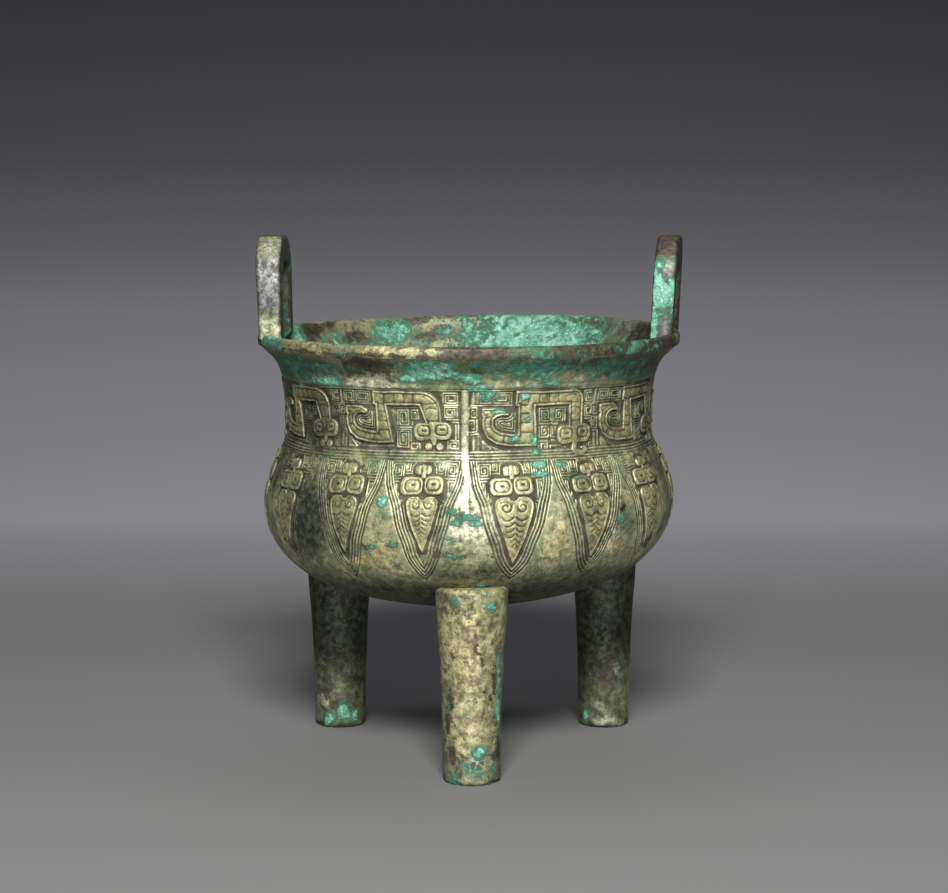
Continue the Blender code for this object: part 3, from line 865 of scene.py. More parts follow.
def outer_body(material):
    """The decorated outer face, in three mould sections above and three below the frieze's foot."""
    step = 1
    columns, rows, tile = COLUMNS // step, ROWS // step, TILE // step
    a, d, height, raised = carved_grid(columns, rows)
    bare = on_body(a, d, 0.0)
    worn = height * (0.86 + 0.12 * noise(bare, 18.0, 41) + 0.10 * noise(bare, 3.2, 43))
    y = d / UNIT - sag(a)
    crusted = smooth(patches(a, y, VERDIGRIS) + 0.35 * octaves(bare, 2.4, 51, 2), 0.45, 0.75)
    rise = worn + weather(bare) + crusted * (0.10 + 0.10 * noise(bare, 1.5, 53))
    rise = rise - 0.14 * smooth(patches(a, y, DARK), 0.5, 1.1)
    rise = rise + (1 - smooth(d, 11.0, 16.0)) * 0.12 * octaves(bare, 2.6, 71, 2)
    joined(rise)
    points = settled(on_body(a, d, rise)).astype(np.float32)
    # How far each place lies below or above its surroundings: low places get the brown groove colour with
    # painted shade, high ones pale wear with a painted highlight.
    cavity = 0.5 + (worn - blurred(worn, 8 // step)) * 0.9
    paint, tone = body_masks(a, d, cavity, raised)
    joined(paint, tone)
    normals = grid_normals(points)
    soft = np.concatenate([paint[..., 1:3], tone[..., :2]], -1)
    at = np.arange(columns + 1) * 360.0 / columns
    share = np.where((at > SECTION) & (at < 2 * SECTION), BACK_SHARE, 1.0).astype(np.float32)
    t = adaptive_faces(points, soft, tile, FLATNESS * step, share)
    belly = t[:, ::2].mean(axis=1) > rows / 2
    section = t[:, 1::2].mean(axis=1) * 3 // columns
    ids = np.stack([t[:, k] * (columns + 1) + t[:, k + 1] for k in (0, 4, 2)], 1)
    for k in range(3):
        for band, chosen in (("neck", ~belly), ("belly", belly)):
            used, faces = np.unique(ids[chosen & (section == k)], return_inverse=True)
            faces = faces.reshape(-1, 3)
            flat, facing, first, second = (
                grid.reshape(-1, grid.shape[-1])[used] for grid in (points, normals, paint, tone)
            )
            one, two, three = (flat[faces[:, corner]] for corner in range(3))
            if (np.cross(two - one, three - one) * facing[faces[:, 0]]).sum() < 0:
                faces = faces[:, ::-1]
            piece(f"{band}_section_{k + 1}", flat, faces, facing, first, second, material)


def underside(material):
    """The plain lower belly and the bottom."""
    overlap = 0.6  # mm that this face runs up under the carved one
    downs = np.linspace(CARVED_DOWN - overlap, DOWN[-1] - 0.05, 48)
    a, d = np.meshgrid(SEAM + np.linspace(0, 360, 217), downs)
    rise = weather(on_body(a, d, 0.0))
    joined(rise)
    points = settled(on_body(a, d, rise))
    paint, tone = body_masks(a, d, 0.5 + 0 * a, 0 * a)
    joined(paint, tone)
    grid_piece("underside", points, paint, tone, material, False)


# Bright corrosion on the inner face: angle, mm down from the lip, half width and height, strength.
INSIDE_GREEN = (
    (157, 14, 24, 34, 1.1), (176, 20, 12, 20, 0.8), (124, 30, 14, 20, 0.6), (248, 7, 7, 9, 1.1),
    (206, 8, 8, 6, 1.1), (188, 8.5, 3.5, 2.2, 1.2), (181, 6, 3, 8, 0.9), (222, 20, 40, 16, 0.55),
    (232, 30, 12, 20, 0.85), (206, 34, 9, 10, 0.8), (20, 50, 30, 30, 0.6), (300, 40, 30, 30, 0.7),
)
INSIDE_DARK = (
    (110, 12, 12, 22, 1.1), (132, 5, 4, 5, 0.55), (237, 5, 5, 6, 1.15), (221, 9.5, 6, 2.6, 1.1),
    (228, 2, 4, 2, 0.8), (196, 3, 5, 2.2, 1.0), (191, 7, 4, 1.6, 0.95), (194, 11.5, 6, 1.8, 0.95),
    (214, 2, 3, 2, 0.7), (216, 24, 6, 8, 0.9), (246, 26, 6, 12, 0.8), (268, 20, 12, 24, 0.8),
    (90, 20, 16, 24, 0.8),
)
# Colours along the lip: angle, half width, strength.
LIP_GREEN = (
    (-68, 9, 0.8), (-34, 4, 0.4), (18, 14, 0.55), (50, 14, 0.55), (160, 30, 0.8), (240, 20, 0.7),
)
LIP_DARK = (
    (-80, 6, 0.8), (-12, 5, 0.6), (2, 9, 1.0), (28, 8, 0.8), (60, 16, 1.0), (100, 20, 0.9), (200, 16, 0.8),
)
LIP_SOOT = ((-46, 24, 0.32), (46, 44, 0.75), (-88, 16, 0.6), (150, 60, 0.4))
LIP_TAN = ((-48, 16, 1.0), (-24, 12, 0.9), (44, 6, 0.7), (70, 5, 0.6), (-140, 30, 0.7))
LIP_SPREAD = 7.0  # mm over the lip, from the outer face to where the inside's distances start
# Section of the lip, in mm: distance from the axis and height.
LIP = (
    (86.15, 167.2), (86.35, 167.9), (86.45, 169.0), (86.35, 170.2), (86.05, 171.1), (85.4, 171.6),
    (84.4, 171.8), (83.2, 171.75), (82.0, 171.55), (81.3, 171.1), (80.8, 170.2), (80.2, 168.4),
)


def along_lip(angle, spots):
    """Strength of the named colours along the lip here."""
    total = np.zeros(angle.shape)
    for at, wide, strength in spots:
        reach = (turned(angle, at) / wide) ** 2
        total = np.maximum(total, strength * np.exp(-PATCH_FALL * reach))
    return total


def inside_and_rim(material):
    """The rim's lip and the whole inner face."""
    inner = []
    for down in np.linspace(3.0, DOWN[-1] - 0.2, 90):
        radius, height, out, up = outer_at(down)
        radius, height = max(radius - out * WALL, 0.05), height - up * WALL
        if radius < LIP[-1][0] - 0.3 and height < LIP[-1][1] - 0.6:
            inner.append((radius, height))
    profile = np.array([*LIP, *inner])
    spread = np.concatenate([[0], np.cumsum(np.hypot(*np.diff(profile, axis=0).T))])
    steps = np.concatenate([np.linspace(0, 12, 28), np.linspace(12.8, spread[-1], 70)])
    radius, height = (np.interp(steps, spread, column)[:, None] for column in profile.T)
    a, s = np.meshgrid(SEAM + np.linspace(0, 360, 313), steps)
    turn = np.radians(a)

    def turned(across, up):
        """Points round the vessel from their distances off its axis and their heights."""
        return np.stack([across * np.sin(turn), -across * np.cos(turn), up + 0 * a], -1)

    bare = turned(radius, height)
    slope_r, slope_z = (np.gradient(column[:, 0], steps)[:, None] for column in (radius, height))
    size = np.hypot(slope_r, slope_z)
    out = turned(slope_z / size, -slope_r / size)
    in_front = smooth(np.cos(turn), -0.25, 0.25)
    on_lip = (1 - smooth(s, 8.0, 9.6)) * in_front
    down = s - LIP_SPREAD
    green = patches(a, down, INSIDE_GREEN) * (1 - on_lip) + along_lip(a, LIP_GREEN) * on_lip
    dark = patches(a, down, INSIDE_DARK) * (1 - on_lip) + along_lip(a, LIP_DARK) * on_lip
    # Painted shade along the lip's lower edge, and a dark line along its inner edge.
    edges = 1.5 * hump(s, 0.8, 1.5) + hump(s, 8.2, 0.5)
    dark = np.maximum(dark, 0.52 * edges * in_front)
    tan = along_lip(a, LIP_TAN) * on_lip + 0.3 * (1 - on_lip)
    rise = weather(bare) * 0.8 + 0.10 * octaves(bare, 3.0, 141, 2)
    crust = smooth(green + 0.4 * octaves(bare, 3.0, 151, 2), 0.35, 0.7)
    rise = rise + crust * (1 - on_lip) * (0.15 + 0.12 * octaves(bare, 2.4, 153, 2))
    rise = rise * smooth(s, 0.0, 1.5)
    joined(rise)
    points = settled(bare - out * rise[..., None])
    paint = layer(0.52 + 0.1 * noise(bare, 2.0, 161), green, dark, 0 * a)
    # Painted shade all over the inside of the bowl; on the lip the darker stretches follow LIP_SOOT.
    darkening_and_shade = (0.2 + along_lip(a, LIP_SOOT)) * on_lip + 0.5 * (1 - on_lip)
    tone = layer(0.2 * on_lip, tan, darkening_and_shade, 0 * a)
    joined(paint, tone)
    grid_piece("rim_and_inside", points, paint, tone, material, (grid_normals(points) * out).sum() > 0)


def leg_top(x, y):
    """Height about halfway through the wall of the belly above this point."""
    below = OUTER[OUTER[:, 1] < BELLY_WIDEST][::-1]
    return np.interp(np.hypot(x, y), *below.T) + WALL * 0.55


# Patches on the front leg: angle from the front, height in mm, half width and height, strength.
LEG_GREEN = (
    (16, 13.5, 17, 3.6, 1.15), (34, 71, 14, 3, 1.0), (62, 30, 12, 16, 0.75), (58, 52, 10, 8, 0.6),
    (50, 6, 18, 4, 0.8), (-10, 8, 10, 3, 0.6), (18, 5, 26, 5, 0.55), (-24, 74, 26, 4, 0.36),
    (22, 75, 22, 3, 0.36), (-50, 40, 10, 30, 0.3),
)
LEG_DARK = (
    (-44, 36, 11, 9, 0.95), (-52, 26, 8, 6, 0.8), (-36, 52, 6, 3, 0.8), (46, 42, 9, 8, 0.75),
    (6, 61, 3, 4, 0.9), (6, 55, 3, 3, 0.8), (-20, 48, 4, 3, 0.7), (20, 50, 5, 3, 0.7),
    (-40, 12, 14, 6, 0.8), (12, 8.5, 26, 3, 0.85), (-14, 10, 10, 4, 0.7), (66, 14, 10, 8, 0.8),
    (8, 36, 6, 3, 0.55), (24, 30, 5, 2.5, 0.55), (180, 30, 40, 12, 0.8), (-26, 6, 20, 6, 0.7),
    (30, 7, 16, 4, 0.6),
)
LEG_PALE = (
    (-12, 33, 16, 10, 0.5), (14, 46, 16, 14, 0.4), (0, 24, 20, 8, 0.45), (-24, 58, 18, 7, 0.3),
    (0, 9, 30, 4, 0.7), (-14, 75, 34, 3, 0.55),
)
LEG_TAN = (
    (2, 44, 80, 50, 1.12), (-10, 62, 20, 7, 1.0), (24, 60, 16, 8, 0.7), (-30, 48, 16, 8, 0.6),
    (-30, 10, 20, 5, 0.8),
)
# The same for the legs at the back: green, dark and pale.
LEFT_LEG = (
    ((10, 8, 16, 4.2, 1.15), (-22, 4, 16, 3, 0.9), (40, 5, 14, 4, 0.7)),
    ((0, 22, 26, 7, 0.5), (-30, 15, 10, 4, 0.7), (38, 26, 18, 10, 0.6)),
    ((-34, 12, 11, 3.4, 1.3), (-36, 32, 8, 3, 0.9), (0, 18, 24, 4, 0.6)),
)
RIGHT_LEG = (
    ((8, 16, 9, 5, 0.6), (-30, 6, 16, 3, 0.6), (-48, 4, 14, 4, 0.8)),
    ((4, 22, 22, 8, 0.75), (18, 32, 16, 5, 0.7), (36, 6, 12, 4, 0.8)),
    ((28, 26, 12, 4, 1.0), (0, 4, 34, 3, 1.0), (-14, 10, 20, 3, 0.7)),
)


def leg(name, angle, number, material):
    """A column leg with a worn foot, stepping in under the belly at its shoulder."""
    foot = LEG_RADIUS_FOOT + (FRONT_LEG_EXTRA if number == 0 else 0.0)
    full = foot + LEG_SHOULDER_SPREAD
    under = LEG_SHOULDER_Z - LEG_SHOULDER_EDGE
    stations = [
        (0.0, foot - LEG_FOOT_EDGE),
        (0.3, foot - 0.5 * LEG_FOOT_EDGE),
        *((height, foot + spread) for height, spread in LEG_SPREAD),
        (under, full),
        (LEG_SHOULDER_Z - 0.35 * LEG_SHOULDER_EDGE, full - 0.4 * LEG_SHOULDER_EDGE),
        (LEG_SHOULDER_Z, full - LEG_SHOULDER_EDGE),
        (BELLY_WIDEST, 0.2 * full),
    ]
    # Rows of the foot, the shaft, and the shoulder with what stands in the belly's wall.
    parts = ((0.0, 1.2, 5), (1.9, under, 104), (under + 0.3, BELLY_WIDEST, 22))
    rises = np.concatenate([np.linspace(*part) for part in parts])
    t, h = np.meshgrid(np.linspace(0, 2 * math.pi, 97), rises)
    out = (math.sin(angle), -math.cos(angle))

    def ring(radius):
        """Places across the floor at this distance from the leg's axis."""
        reach = LEG_CIRCLE + radius * np.cos(t)
        side = radius * np.sin(t)
        return out[0] * reach - out[1] * side + LEGS_SHIFT_X, out[1] * reach + out[0] * side

    step_in = np.clip((h - LEG_SHOULDER_Z) / (BELLY_WIDEST - LEG_SHOULDER_Z), 0, 1)
    x, y = ring(np.interp(h, *np.array(stations).T))
    crown = leg_top(*ring(0.2 * full))
    z = np.where(h > LEG_SHOULDER_Z, LEG_SHOULDER_Z + (crown - LEG_SHOULDER_Z) * step_in**2.5, h)
    z = np.minimum(z, leg_top(x, y))
    bare = np.stack([x, y, z], -1)
    away_x = out[0] * np.cos(t) - out[1] * np.sin(t)
    away_y = out[1] * np.cos(t) + out[0] * np.sin(t)
    normal = np.stack([away_x, away_y, 0 * t], -1)
    front = np.degrees(np.arctan2(away_x, -away_y))
    shifted = bare + number * 37.0  # each leg has its own noise
    low = 1 - smooth(z, 6.0, 26.0)
    rough = 0.20 * octaves(shifted, 13.0, 203, 3) + 0.11 * octaves(shifted, 3.2, 205, 2) * (0.4 + low)
    pits = smooth(noise(shifted, 1.7, 207) + 0.4 * noise(shifted, 11.0, 209), 0.66, 0.9)
    chips = (1 - smooth(z, 0.4, 3.0)) * smooth(noise(shifted, 5.0, 211), 0.1, 0.6)
    spots = ((LEG_GREEN, LEG_DARK, LEG_PALE), RIGHT_LEG, LEFT_LEG)[number]
    green, dark, pale = (patches(front, z, table) for table in spots)
    tan = 0.3 * low
    # Painted shade on the legs at the back, deepest high up under the belly.
    darkening_and_shade = 0.55 + 0.45 * smooth(z, 16.0, 44.0)
    if number == 0:
        worn = 1 - smooth(z, 9.0, 17.0)
        green = np.maximum(green, 0.40 * worn)
        dark = np.maximum(dark, 0.44 * worn)
        pale = pale + 0.3 * worn
        tan = patches(front, z, LEG_TAN)
        # Lighter painted shade on the front leg, more of it on its sides turned from the light.
        darkening_and_shade = 0.42 + 0.3 * smooth(np.abs(front), 60.0, 100.0)
    crusted = smooth(green + 0.3 * octaves(shifted, 2.2, 213, 2), 0.5, 0.8)
    rough = rough - 0.16 * pits - 0.7 * chips + 0.22 * crusted
    rough = rough * smooth(z, -0.2, 0.8) * (1 - smooth(h, LEG_SHOULDER_Z - 2.0, LEG_SHOULDER_Z))
    joined(rough)
    points = bare + normal * rough[..., None]
    joined(points)
    paint = layer(0.5 + 0.5 * (rough - 0.2 * crusted), green, np.maximum(dark, 0.7 * pits), 0 * t)
    tone = layer(pale, tan, darkening_and_shade, 0 * t)
    joined(paint, tone)
    sole_rows = 5
    points, paint, tone = (
        np.concatenate([np.repeat(grid[:1], sole_rows, axis=0), grid]) for grid in (points, paint, tone)
    )
    centre = np.array([out[0] * LEG_CIRCLE + LEGS_SHIFT_X, out[1] * LEG_CIRCLE, 0.0])
    shrink = np.linspace(0.02, 0.97, sole_rows)[:, None, None]
    points[:sole_rows] = centre + (points[:sole_rows] - centre) * shrink
    points[:sole_rows, :, 2] = 0.0
    points = settled(points)
    level = 20  # a row of the plain shaft, which shows which way the grid faces
    inward = (grid_normals(points)[level] * normal[0]).sum() < 0
    grid_piece(name, points, paint, tone, material, inward)


def rounded_section(width, depth, radius, spacing):
    """Closed loop of points round a rectangle with rounded corners."""
    arcs = []
    for quarter, (sx, sy) in enumerate(((1, 1), (-1, 1), (-1, -1), (1, -1))):
        for step in range(6):
            turn = math.radians(90 * quarter + 90 * step / 5)
            x = sx * (width / 2 - radius) + radius * math.cos(turn)
            arcs.append((x, sy * (depth / 2 - radius) + radius * math.sin(turn)))
    loop = []
    for (ax, ay), (bx, by) in zip(arcs, arcs[1:] + arcs[:1]):
        count = max(1, int(math.hypot(bx - ax, by - ay) / spacing))
        loop += [(ax + (bx - ax) * k / count, ay + (by - ay) * k / count) for k in range(count)]
    return np.array([*loop, loop[0]])


def ear(name, side, centre, thick, thicken, lean, turn, material):
    """An upright loop: a strap with softened edges, bent over, its feet drawn in to the wall."""
    half = EAR_WIDTH / 2 - EAR_STRAP / 2
    bend = EAR_CORNER - EAR_STRAP / 2
    top = EAR_TOP - EAR_STRAP / 2
    path = [(-half, z, -1.0, 0.0) for z in np.linspace(EAR_FOOT, top - bend, 56)]
    for step in np.linspace(0, 1, 26)[1:]:
        a = step * math.pi / 2
        y = -half + bend * (1 - math.cos(a))
        path.append((y, top - bend + bend * math.sin(a), -math.cos(a), math.sin(a)))
    for y in np.linspace(-half + bend, 0, 12)[1:]:
        path.append((y, top, 0.0, 1.0))
    path += [(-y, z, -ny, nz) for y, z, ny, nz in path[-2::-1]]
    y0, z0, ny, nz = (np.array(path)[:, i : i + 1] for i in range(4))
    thin_way, wide_way = rounded_section(thick, EAR_STRAP, EAR_EDGE, 0.72).T
    py = y0 + ny * wide_way
    pz = z0 + nz * wide_way
    across = thin_way * (1 + thicken * smooth(pz, RIM_TOP, EAR_TOP))
    px = side * (across + lean * (pz - RIM_TOP))
    x = side * centre + px * math.cos(turn) + py * math.sin(turn)
    y = py * math.cos(turn) - px * math.sin(turn)
    in_wall = np.sqrt(EAR_FOOT_RADIUS**2 - np.minimum(y * y, EAR_FOOT_RADIUS**2))
    free = np.clip((z0 - EAR_FOOT) / (RIM_TOP - 1.5 - EAR_FOOT), 0, 1)
    x = side * (in_wall + across * EAR_FOOT_THIN) * (1 - free) + x * free
    bare = np.stack([x, y, pz], -1)
    shifted = bare + (91.0 if side > 0 else 0.0)  # each ear has its own noise
    middle = np.stack([side * centre + side * lean * (z0 - RIM_TOP) + 0 * x, y0 + 0 * x, z0 + 0 * x], -1)
    outward = grid_normals(bare)
    flip = (outward * (bare - middle)).sum() < 0
    outward = -outward if flip else outward
    rough = 0.14 * octaves(shifted, 11.0, 303, 3) + 0.06 * octaves(shifted, 2.6, 305, 2)
    front = smooth(-outward[..., 1], 0.3, 0.7)
    inner_side = smooth(-side * outward[..., 0], 0.3, 0.7)
    far = smooth(y, -6.0, 0.0) * (1 - smooth(pz, EAR_TOP - 6.0, EAR_TOP - 3.0))
    front = front * (1 - far)
    # Where each colour lies, by height and by distance across the strap, in mm.
    if side > 0:
        bright = front * hump(pz, 198.0, 4.0) * smooth(px, -0.5, 1.5)
        green = hump(pz, 190.0, 12.0) * (0.35 + 0.75 * front) * (1 - 0.8 * bright)
        low_part = (1 - smooth(pz, 178.0, 188.0)) * (1 - smooth(px, -2.2, 0.2))
        green = np.maximum(green, 0.95 * front * low_part)
        green = np.maximum(green, 0.6 * smooth(-pz, -186.0, -168.0) * inner_side)
        # Dark top; painted shade on the faces turned from the front, other than the inner face.
        dark = 0.95 * smooth(pz, 201.0, 205.0) + 0.7 * (1 - front) * (1 - inner_side)
        silver = np.maximum(front * (0.9 * smooth(-pz, -184.0, -176.0) + 0.35), 1.2 * bright)
        dim = 0.34 * front
        pale = front * 0.9 * hump(pz, 178.0, 4.0) * smooth(px, -1.0, 4.0)
        tan = 0.4 + 0.5 * hump(pz, 186.0, 2.0)
        rough = rough + smooth(green, 0.5, 0.9) * 0.2 * octaves(shifted, 2.2, 309, 3)
    else:
        top_bend = smooth(pz, 203.0, 206.0) * smooth(-outward[..., 1], 0.0, 0.3) * (y < 0)
        front = np.maximum(front, top_bend)
        green = 0.34 * (1 - front) + 0.55 * smooth(-pz, -174.0, -168.0)
        # Painted shade on the inner face, and a dark stretch at the top.
        dark = 0.85 * inner_side * (1 - front) + 0.5 * smooth(pz, 209.8, 210.8) * smooth(-px, -1.0, 2.0)
        silver = front * 0.9 * window(pz, 176.0, 187.0, 198.0, 208.0)
        pale = front * 0.9 * (1 - smooth(pz, 176.0, 187.0) + smooth(pz, 199.0, 207.0))
        tan = 0.6 * smooth(pz, 208.5, 210.5)
        dim = front * (0.06 + 0.5 * hump(pz, 183.0, 5.0) + 0.1 * smooth(pz, 197.0, 204.0))
    # Painted shade, with some dirt, on the far post seen through the loop.
    dark = np.maximum(dark, 0.85 * far)
    joined(rough, green, dark)
    points = bare + outward * rough[..., None]
    joined(points)
    paint = layer(0.5 + 0.5 * rough, green, dark, 0 * rough)
    # Darker tone, with painted shade on the faces turned from the front.
    tone = layer(0.7 * pale, tan, 0.3 + 0.6 * (1 - front) + dim, silver)
    joined(paint, tone)
    grid_piece(name, points, paint, tone, material, flip)


# ---------------------------------------------------------------- the patina


def tint(red, green, blue):
    """Linear colour from one named in 0 to 255 display values."""
    linear = []
    for value in (red, green, blue):
        share = value / 255.0
        linear.append(share / 12.92 if share < 0.04045 else ((share + 0.055) / 1.055) ** 2.4)
    return (*linear, 1.0)


def patina(name):
    """Bronze patina: olive and cream skin, brown in the grooves with painted shade there, verdigris crusts
    and dark bare bronze, with painted shade and highlight where the paint layers ask for them.
    """
    material = bpy.data.materials.new(name)
    material.use_nodes = True
    tree = material.node_tree
    nodes, links = tree.nodes, tree.links
    shader = nodes["Principled BSDF"]

    def node(kind, **settings):
        """A new shader node with these settings."""
        made = nodes.new(kind)
        for key, value in settings.items():
            setattr(made, key, value)
        return made

    def feed(socket, value):
        """Links a socket to another, or sets its number or colour."""
        if isinstance(value, bpy.types.NodeSocket):
            links.new(value, socket)
        else:
            socket.default_value = value

    def combine(kind, first, second):
        """One step of arithmetic on two numbers."""
        made = node("ShaderNodeMath", operation=kind)
        feed(made.inputs[0], first)
        feed(made.inputs[1], second)
        return made.outputs[0]

    def times(first, second):
        """The product of two numbers."""
        return combine("MULTIPLY", first, second)

    def plus(first, second):
        """The sum of two numbers."""
        return combine("ADD", first, second)

    def texture_noise(size, detail, rough, seed, distortion):
        """Noise with features of this size in mm."""
        made = node("ShaderNodeTexNoise", noise_dimensions="4D")
        feed(made.inputs["Vector"], place)
        settings = {"W": seed, "Scale": 1.0 / size, "Detail": detail, "Roughness": rough}
        for label, value in {**settings, "Distortion": distortion}.items():
            made.inputs[label].default_value = value
        return made.outputs["Fac"]

    def ramp(value, low, high):
        """Smooth step from 0 at low to 1 at high."""
        made = node("ShaderNodeMapRange", interpolation_type="SMOOTHSTEP")
        feed(made.inputs["Value"], value)
        made.inputs["From Min"].default_value = low
        made.inputs["From Max"].default_value = high
        return made.outputs["Result"]

    def mix(factor, first, second):
        """A blend of two colours, which sockets 6 and 7 and output 2 of the node hold."""
        made = node("ShaderNodeMix", data_type="RGBA")
        feed(made.inputs["Factor"], factor)
        feed(made.inputs[6], first)
        feed(made.inputs[7], second)
        return made.outputs[2]

    def shade(colour, factor):
        """A colour or a place, multiplied by this."""
        made = node("ShaderNodeVectorMath", operation="SCALE")
        feed(made.inputs[0], colour)
        feed(made.inputs["Scale"], factor)
        return made.outputs[0]

    def swing(texture, amount):
        """A texture's swing to either side of its middle."""
        return times(combine("SUBTRACT", texture, 0.5), amount)

    def ragged(mask, texture, amount, low, high):
        """Share of cover of a mask whose edge is broken up by a texture."""
        return ramp(plus(mask, swing(texture, amount)), low, high)

    def split(label):
        """The four masks of a paint layer."""
        attribute = node("ShaderNodeAttribute", attribute_name=label)
        parts = node("ShaderNodeSeparateColor")
        links.new(attribute.outputs["Color"], parts.inputs["Color"])
        return (*parts.outputs, attribute.outputs["Alpha"])

    place = shade(node("ShaderNodeTexCoord").outputs["Object"], 1 / MM)
    cavity, green, dark, raised = split("paint")
    pale, tan, darkening_and_shade, silver = split("tone")

    broad = texture_noise(30.0, 4.0, 0.55, 1.0, 0.6)
    middle = texture_noise(9.0, 6.0, 0.62, 2.0, 0.5)
    other = texture_noise(6.5, 6.0, 0.62, 8.0, 0.8)
    fine = texture_noise(2.6, 6.0, 0.66, 3.0, 0.3)
    grain = texture_noise(0.75, 3.0, 0.6, 4.0, 0.0)
    spots = texture_noise(1.5, 4.0, 0.6, 5.0, 0.4)

    # The skin: olive and cream, then tan and bleached stretches, pale ones with painted highlight, dark
    # ones with painted shade, and silvery ones.
    colour = mix(ramp(broad, 0.42, 0.58), tint(104, 112, 80), tint(156, 155, 118))
    colour = mix(ramp(middle, 0.47, 0.60), colour, tint(118, 134, 102))
    colour = mix(times(ramp(other, 0.50, 0.64), 0.7), colour, tint(182, 180, 142))
    colour = mix(times(ramp(fine, 0.54, 0.68), 0.6), colour, tint(86, 94, 62))
    amber = mix(ramp(fine, 0.42, 0.60), tint(158, 155, 112), tint(184, 176, 132))
    amber = mix(times(ramp(other, 0.52, 0.64), 0.45), amber, tint(154, 126, 72))
    broken = plus(times(middle, 0.55), times(fine, 0.45))
    colour = mix(ragged(tan, broken, 2.4, 0.45, 0.85), colour, amber)
    # Pale colour for bleached patches and for painted highlight.
    bleached_and_highlight = mix(ramp(fine, 0.40, 0.62), tint(172, 176, 145), tint(202, 202, 178))
    colour = mix(ragged(pale, broken, 2.1, 0.26, 0.96), colour, bleached_and_highlight)
    # Dark colour for darker patina and for painted shade.
    dark_and_shade_colour = mix(ramp(fine, 0.42, 0.60), tint(52, 62, 48), tint(88, 96, 70))
    colour = mix(ragged(darkening_and_shade, middle, 1.0, 0.25, 0.95), colour, dark_and_shade_colour)
    skin = mix(ramp(middle, 0.4, 0.6), tint(108, 108, 74), tint(154, 147, 103))
    colour = mix(times(raised, 0.6), colour, skin)
    violet = mix(ramp(fine, 0.42, 0.60), tint(84, 84, 84), tint(126, 128, 122))
    colour = mix(ragged(silver, broken, 2.6, 0.35, 0.60), colour, violet)

    # Flecks and pits of every size.
    contrast = plus(plus(swing(fine, 1.9), swing(grain, 1.5)), swing(spots, 1.3))
    colour = shade(colour, plus(contrast, 1.0))
    brown = times(ramp(spots, 0.585, 0.67), ramp(other, 0.40, 0.54))
    colour = mix(times(brown, 0.8), colour, tint(66, 58, 38))
    colour = mix(times(ramp(grain, 0.62, 0.72), 0.35), colour, tint(196, 196, 170))

    # Soil colour and painted shade in the grooves, and crests worn pale with a painted highlight.
    soil_and_shade_level = plus(cavity, swing(fine, 0.22))
    groove = ramp(soil_and_shade_level, 0.528, 0.395)
    umber = mix(ramp(middle, 0.42, 0.6), tint(34, 33, 27), tint(80, 68, 58))
    colour = mix(times(groove, 0.9), colour, umber)
    # Painted highlight and pale wear on the crests.
    crest = times(ramp(cavity, 0.55, 0.70), ramp(fine, 0.44, 0.58))
    colour = mix(times(crest, 0.45), colour, tint(190, 186, 160))

    # Darkening, partly painted shade; dark bare bronze, which also carries painted shade on the ears and
    # the lip; and the green crusts with their halo and dark outline.
    colour = shade(colour, combine("SUBTRACT", 1.0, times(ramp(darkening_and_shade, 0.2, 0.9), 0.38)))
    dark_metal_and_shade = mix(ramp(fine, 0.40, 0.62), tint(38, 36, 32), tint(82, 66, 54))
    dark_metal_and_shade = mix(ramp(spots, 0.58, 0.68), dark_metal_and_shade, tint(52, 88, 74))
    bare_and_shaded = ragged(dark, broken, 4.6, 0.44, 0.66)
    colour = mix(times(bare_and_shaded, 0.93), colour, dark_metal_and_shade)

    covered = plus(times(other, 0.55), times(fine, 0.45))
    thick = plus(green, swing(covered, 3.8))
    crusted = ramp(thick, 0.46, 0.66)
    crust = mix(ramp(middle, 0.42, 0.60), tint(76, 130, 108), tint(114, 162, 142))
    crust = mix(ramp(grain, 0.54, 0.70), crust, tint(154, 188, 172))
    crust = mix(ramp(thick, 0.95, 0.62), crust, tint(52, 104, 84))
    crust = mix(times(ramp(dark, 0.18, 0.40), 0.8), crust, tint(44, 98, 78))
    crust = shade(crust, plus(times(contrast, 0.7), 0.97))
    halo = ragged(green, other, 2.0, 0.20, 0.75)
    colour = mix(times(halo, 0.4), colour, tint(100, 138, 108))
    ring = times(ramp(thick, 0.34, 0.48), combine("SUBTRACT", 1.0, crusted))
    colour = mix(times(ring, 0.35), colour, tint(50, 58, 44))
    colour = mix(crusted, colour, crust)
    links.new(colour, shader.inputs["Base Color"])

    rough = 0.34
    for mask, share in ((fine, 0.26), (crusted, 0.34), (darkening_and_shade, 0.12), (pale, 0.10), (groove, 0.25)):
        rough = plus(rough, times(mask, share))
    rough.node.use_clamp = True
    links.new(rough, shader.inputs["Roughness"])
    links.new(combine("SUBTRACT", 0.50, times(crusted, 0.42)), shader.inputs["Metallic"])
    shader.inputs["Specular IOR Level"].default_value = 0.55

    relief = plus(times(fine, 0.8), times(grain, 0.35))
    relief = plus(relief, times(crusted, plus(0.5, times(spots, 1.4))))
    relief = combine("SUBTRACT", relief, times(bare_and_shaded, 0.5))
    bump = node("ShaderNodeBump")
    bump.inputs["Distance"].default_value = 0.00022
    bump.inputs["Strength"].default_value = 0.8
    links.new(relief, bump.inputs["Height"])
    links.new(bump.outputs["Normal"], shader.inputs["Normal"])
    return material


# ---------------------------------------------------------------- the studio

# The camera that the photograph's perspective was fitted with, in metres, mm and degrees.
CAMERA_PLACE = (0.0021, -1.0287, 0.2472)
CAMERA_DIP = 6.83
LENS = 95.28
SENSOR = 36.0


def area_light(name, place, target, size, power, colour):
    """A rectangular lamp at a place, turned to its target, with its power in watts."""
    data = bpy.data.lights.new(name, "AREA")
    data.shape = "RECTANGLE"
    data.size, data.size_y = size
    data.energy = power
    data.color = colour
    light = bpy.data.objects.new(name, data)
    bpy.context.scene.collection.objects.link(light)
    light.location = place
    way = Vector(target) - Vector(place)
    light.rotation_euler = way.to_track_quat("-Z", "Y").to_euler()


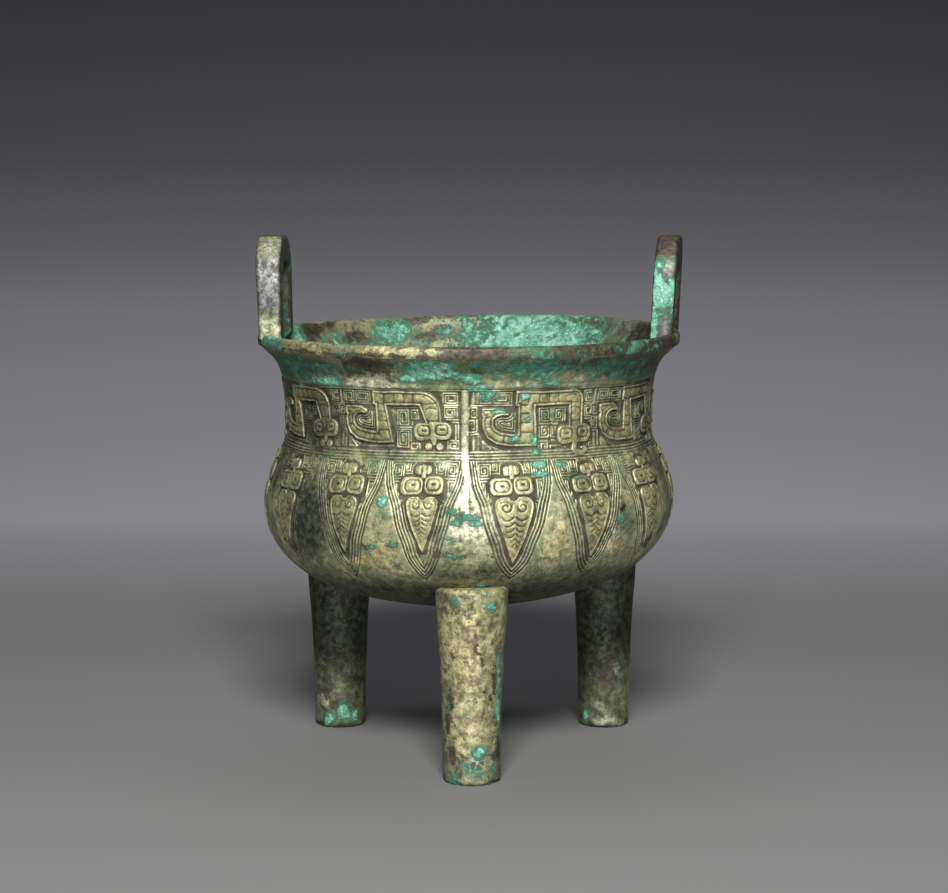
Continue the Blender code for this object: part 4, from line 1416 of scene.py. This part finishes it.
def backdrop():
    """Plain pale floor that sweeps up behind the vessel, paler at its foot and painted darker toward its
    top, a painted fall-off of the light.
    """
    front, bend, depth, rise, side = -2.5, 0.2, 3.6, 0.30, 4.0
    steps = 60
    curve = [(front, 0.0), (bend, 0.0)]
    for step in range(1, steps + 1):
        back = depth * step / steps
        curve.append((bend + back, rise * back**2.2))
    points = [(x, y, z) for y, z in curve for x in (-side, side)]
    faces = [(2 * k, 2 * k + 1, 2 * k + 3, 2 * k + 2) for k in range(len(curve) - 1)]
    mesh = bpy.data.meshes.new("floor")
    mesh.from_pydata(points, [], faces)
    mesh.polygons.foreach_set("use_smooth", [True] * len(faces))
    paper = bpy.data.materials.new("pale_floor")
    paper.use_nodes = True
    nodes, links = paper.node_tree.nodes, paper.node_tree.links
    shader = nodes["Principled BSDF"]
    shader.inputs["Roughness"].default_value = 0.9
    shader.inputs["Specular IOR Level"].default_value = 0.2
    height = nodes.new("ShaderNodeSeparateXYZ")
    links.new(nodes.new("ShaderNodeTexCoord").outputs["Object"], height.inputs[0])
    share = nodes.new("ShaderNodeMapRange")
    links.new(height.outputs[2], share.inputs["Value"])
    share.inputs["From Max"].default_value = 0.40
    tone = nodes.new("ShaderNodeValToRGB")
    links.new(share.outputs["Result"], tone.inputs[0])
    links.new(tone.outputs["Color"], shader.inputs["Base Color"])
    # Painted fall-off of the light: pale at the sweep's foot, darker toward its top.
    stops = tone.color_ramp.elements
    stops[0].color = (0.145, 0.145, 0.147, 1)
    stops[1].color = (0.045, 0.045, 0.049, 1)
    for place, level in ((0.05, 0.24), (0.30, 0.185), (0.42, 0.125), (0.60, 0.074)):
        stops.new(place).color = (level, level, level * 1.09, 1)
    mesh.materials.append(paper)
    floor = bpy.data.objects.new("floor", mesh)
    bpy.context.scene.collection.objects.link(floor)


def studio():
    """The floor, dim surroundings, three lamps, and the camera at the photograph's angle."""
    backdrop()
    world = bpy.data.worlds.new("studio")
    world.use_nodes = True
    background = world.node_tree.nodes["Background"]
    background.inputs["Color"].default_value = (0.74, 0.76, 0.82, 1)
    background.inputs["Strength"].default_value = 0.05
    bpy.context.scene.world = world
    bpy.context.scene.view_settings.view_transform = "Standard"

    area_light("key", (0.0, -1.14, 0.98), (0, 0, 0.10), (0.42, 0.30), 40.0, (1.0, 0.99, 0.96))
    area_light("fill", (0.05, -1.0, 0.05), (0, 0, 0.14), (1.1, 0.10), 5.0, (0.98, 0.99, 1.0))
    area_light("top", (0.0, 0.46, 1.30), (0, 0.29, 0.0), (0.8, 0.6), 4.2, (0.95, 0.97, 1.0))

    data = bpy.data.cameras.new("camera")
    data.sensor_width = SENSOR
    data.lens = LENS
    camera = bpy.data.objects.new("camera", data)
    bpy.context.scene.collection.objects.link(camera)
    camera.location = CAMERA_PLACE
    camera.rotation_euler = (math.radians(90 - CAMERA_DIP), 0, 0)
    bpy.context.scene.camera = camera


bronze = patina("aged_bronze")
outer_body(bronze)
underside(bronze)
inside_and_rim(bronze)
for k in range(3):
    leg(f"leg_{k + 1}", 2 * math.pi * k / 3, k, bronze)
for sizes in EARS:
    ear(*sizes, bronze)
studio()
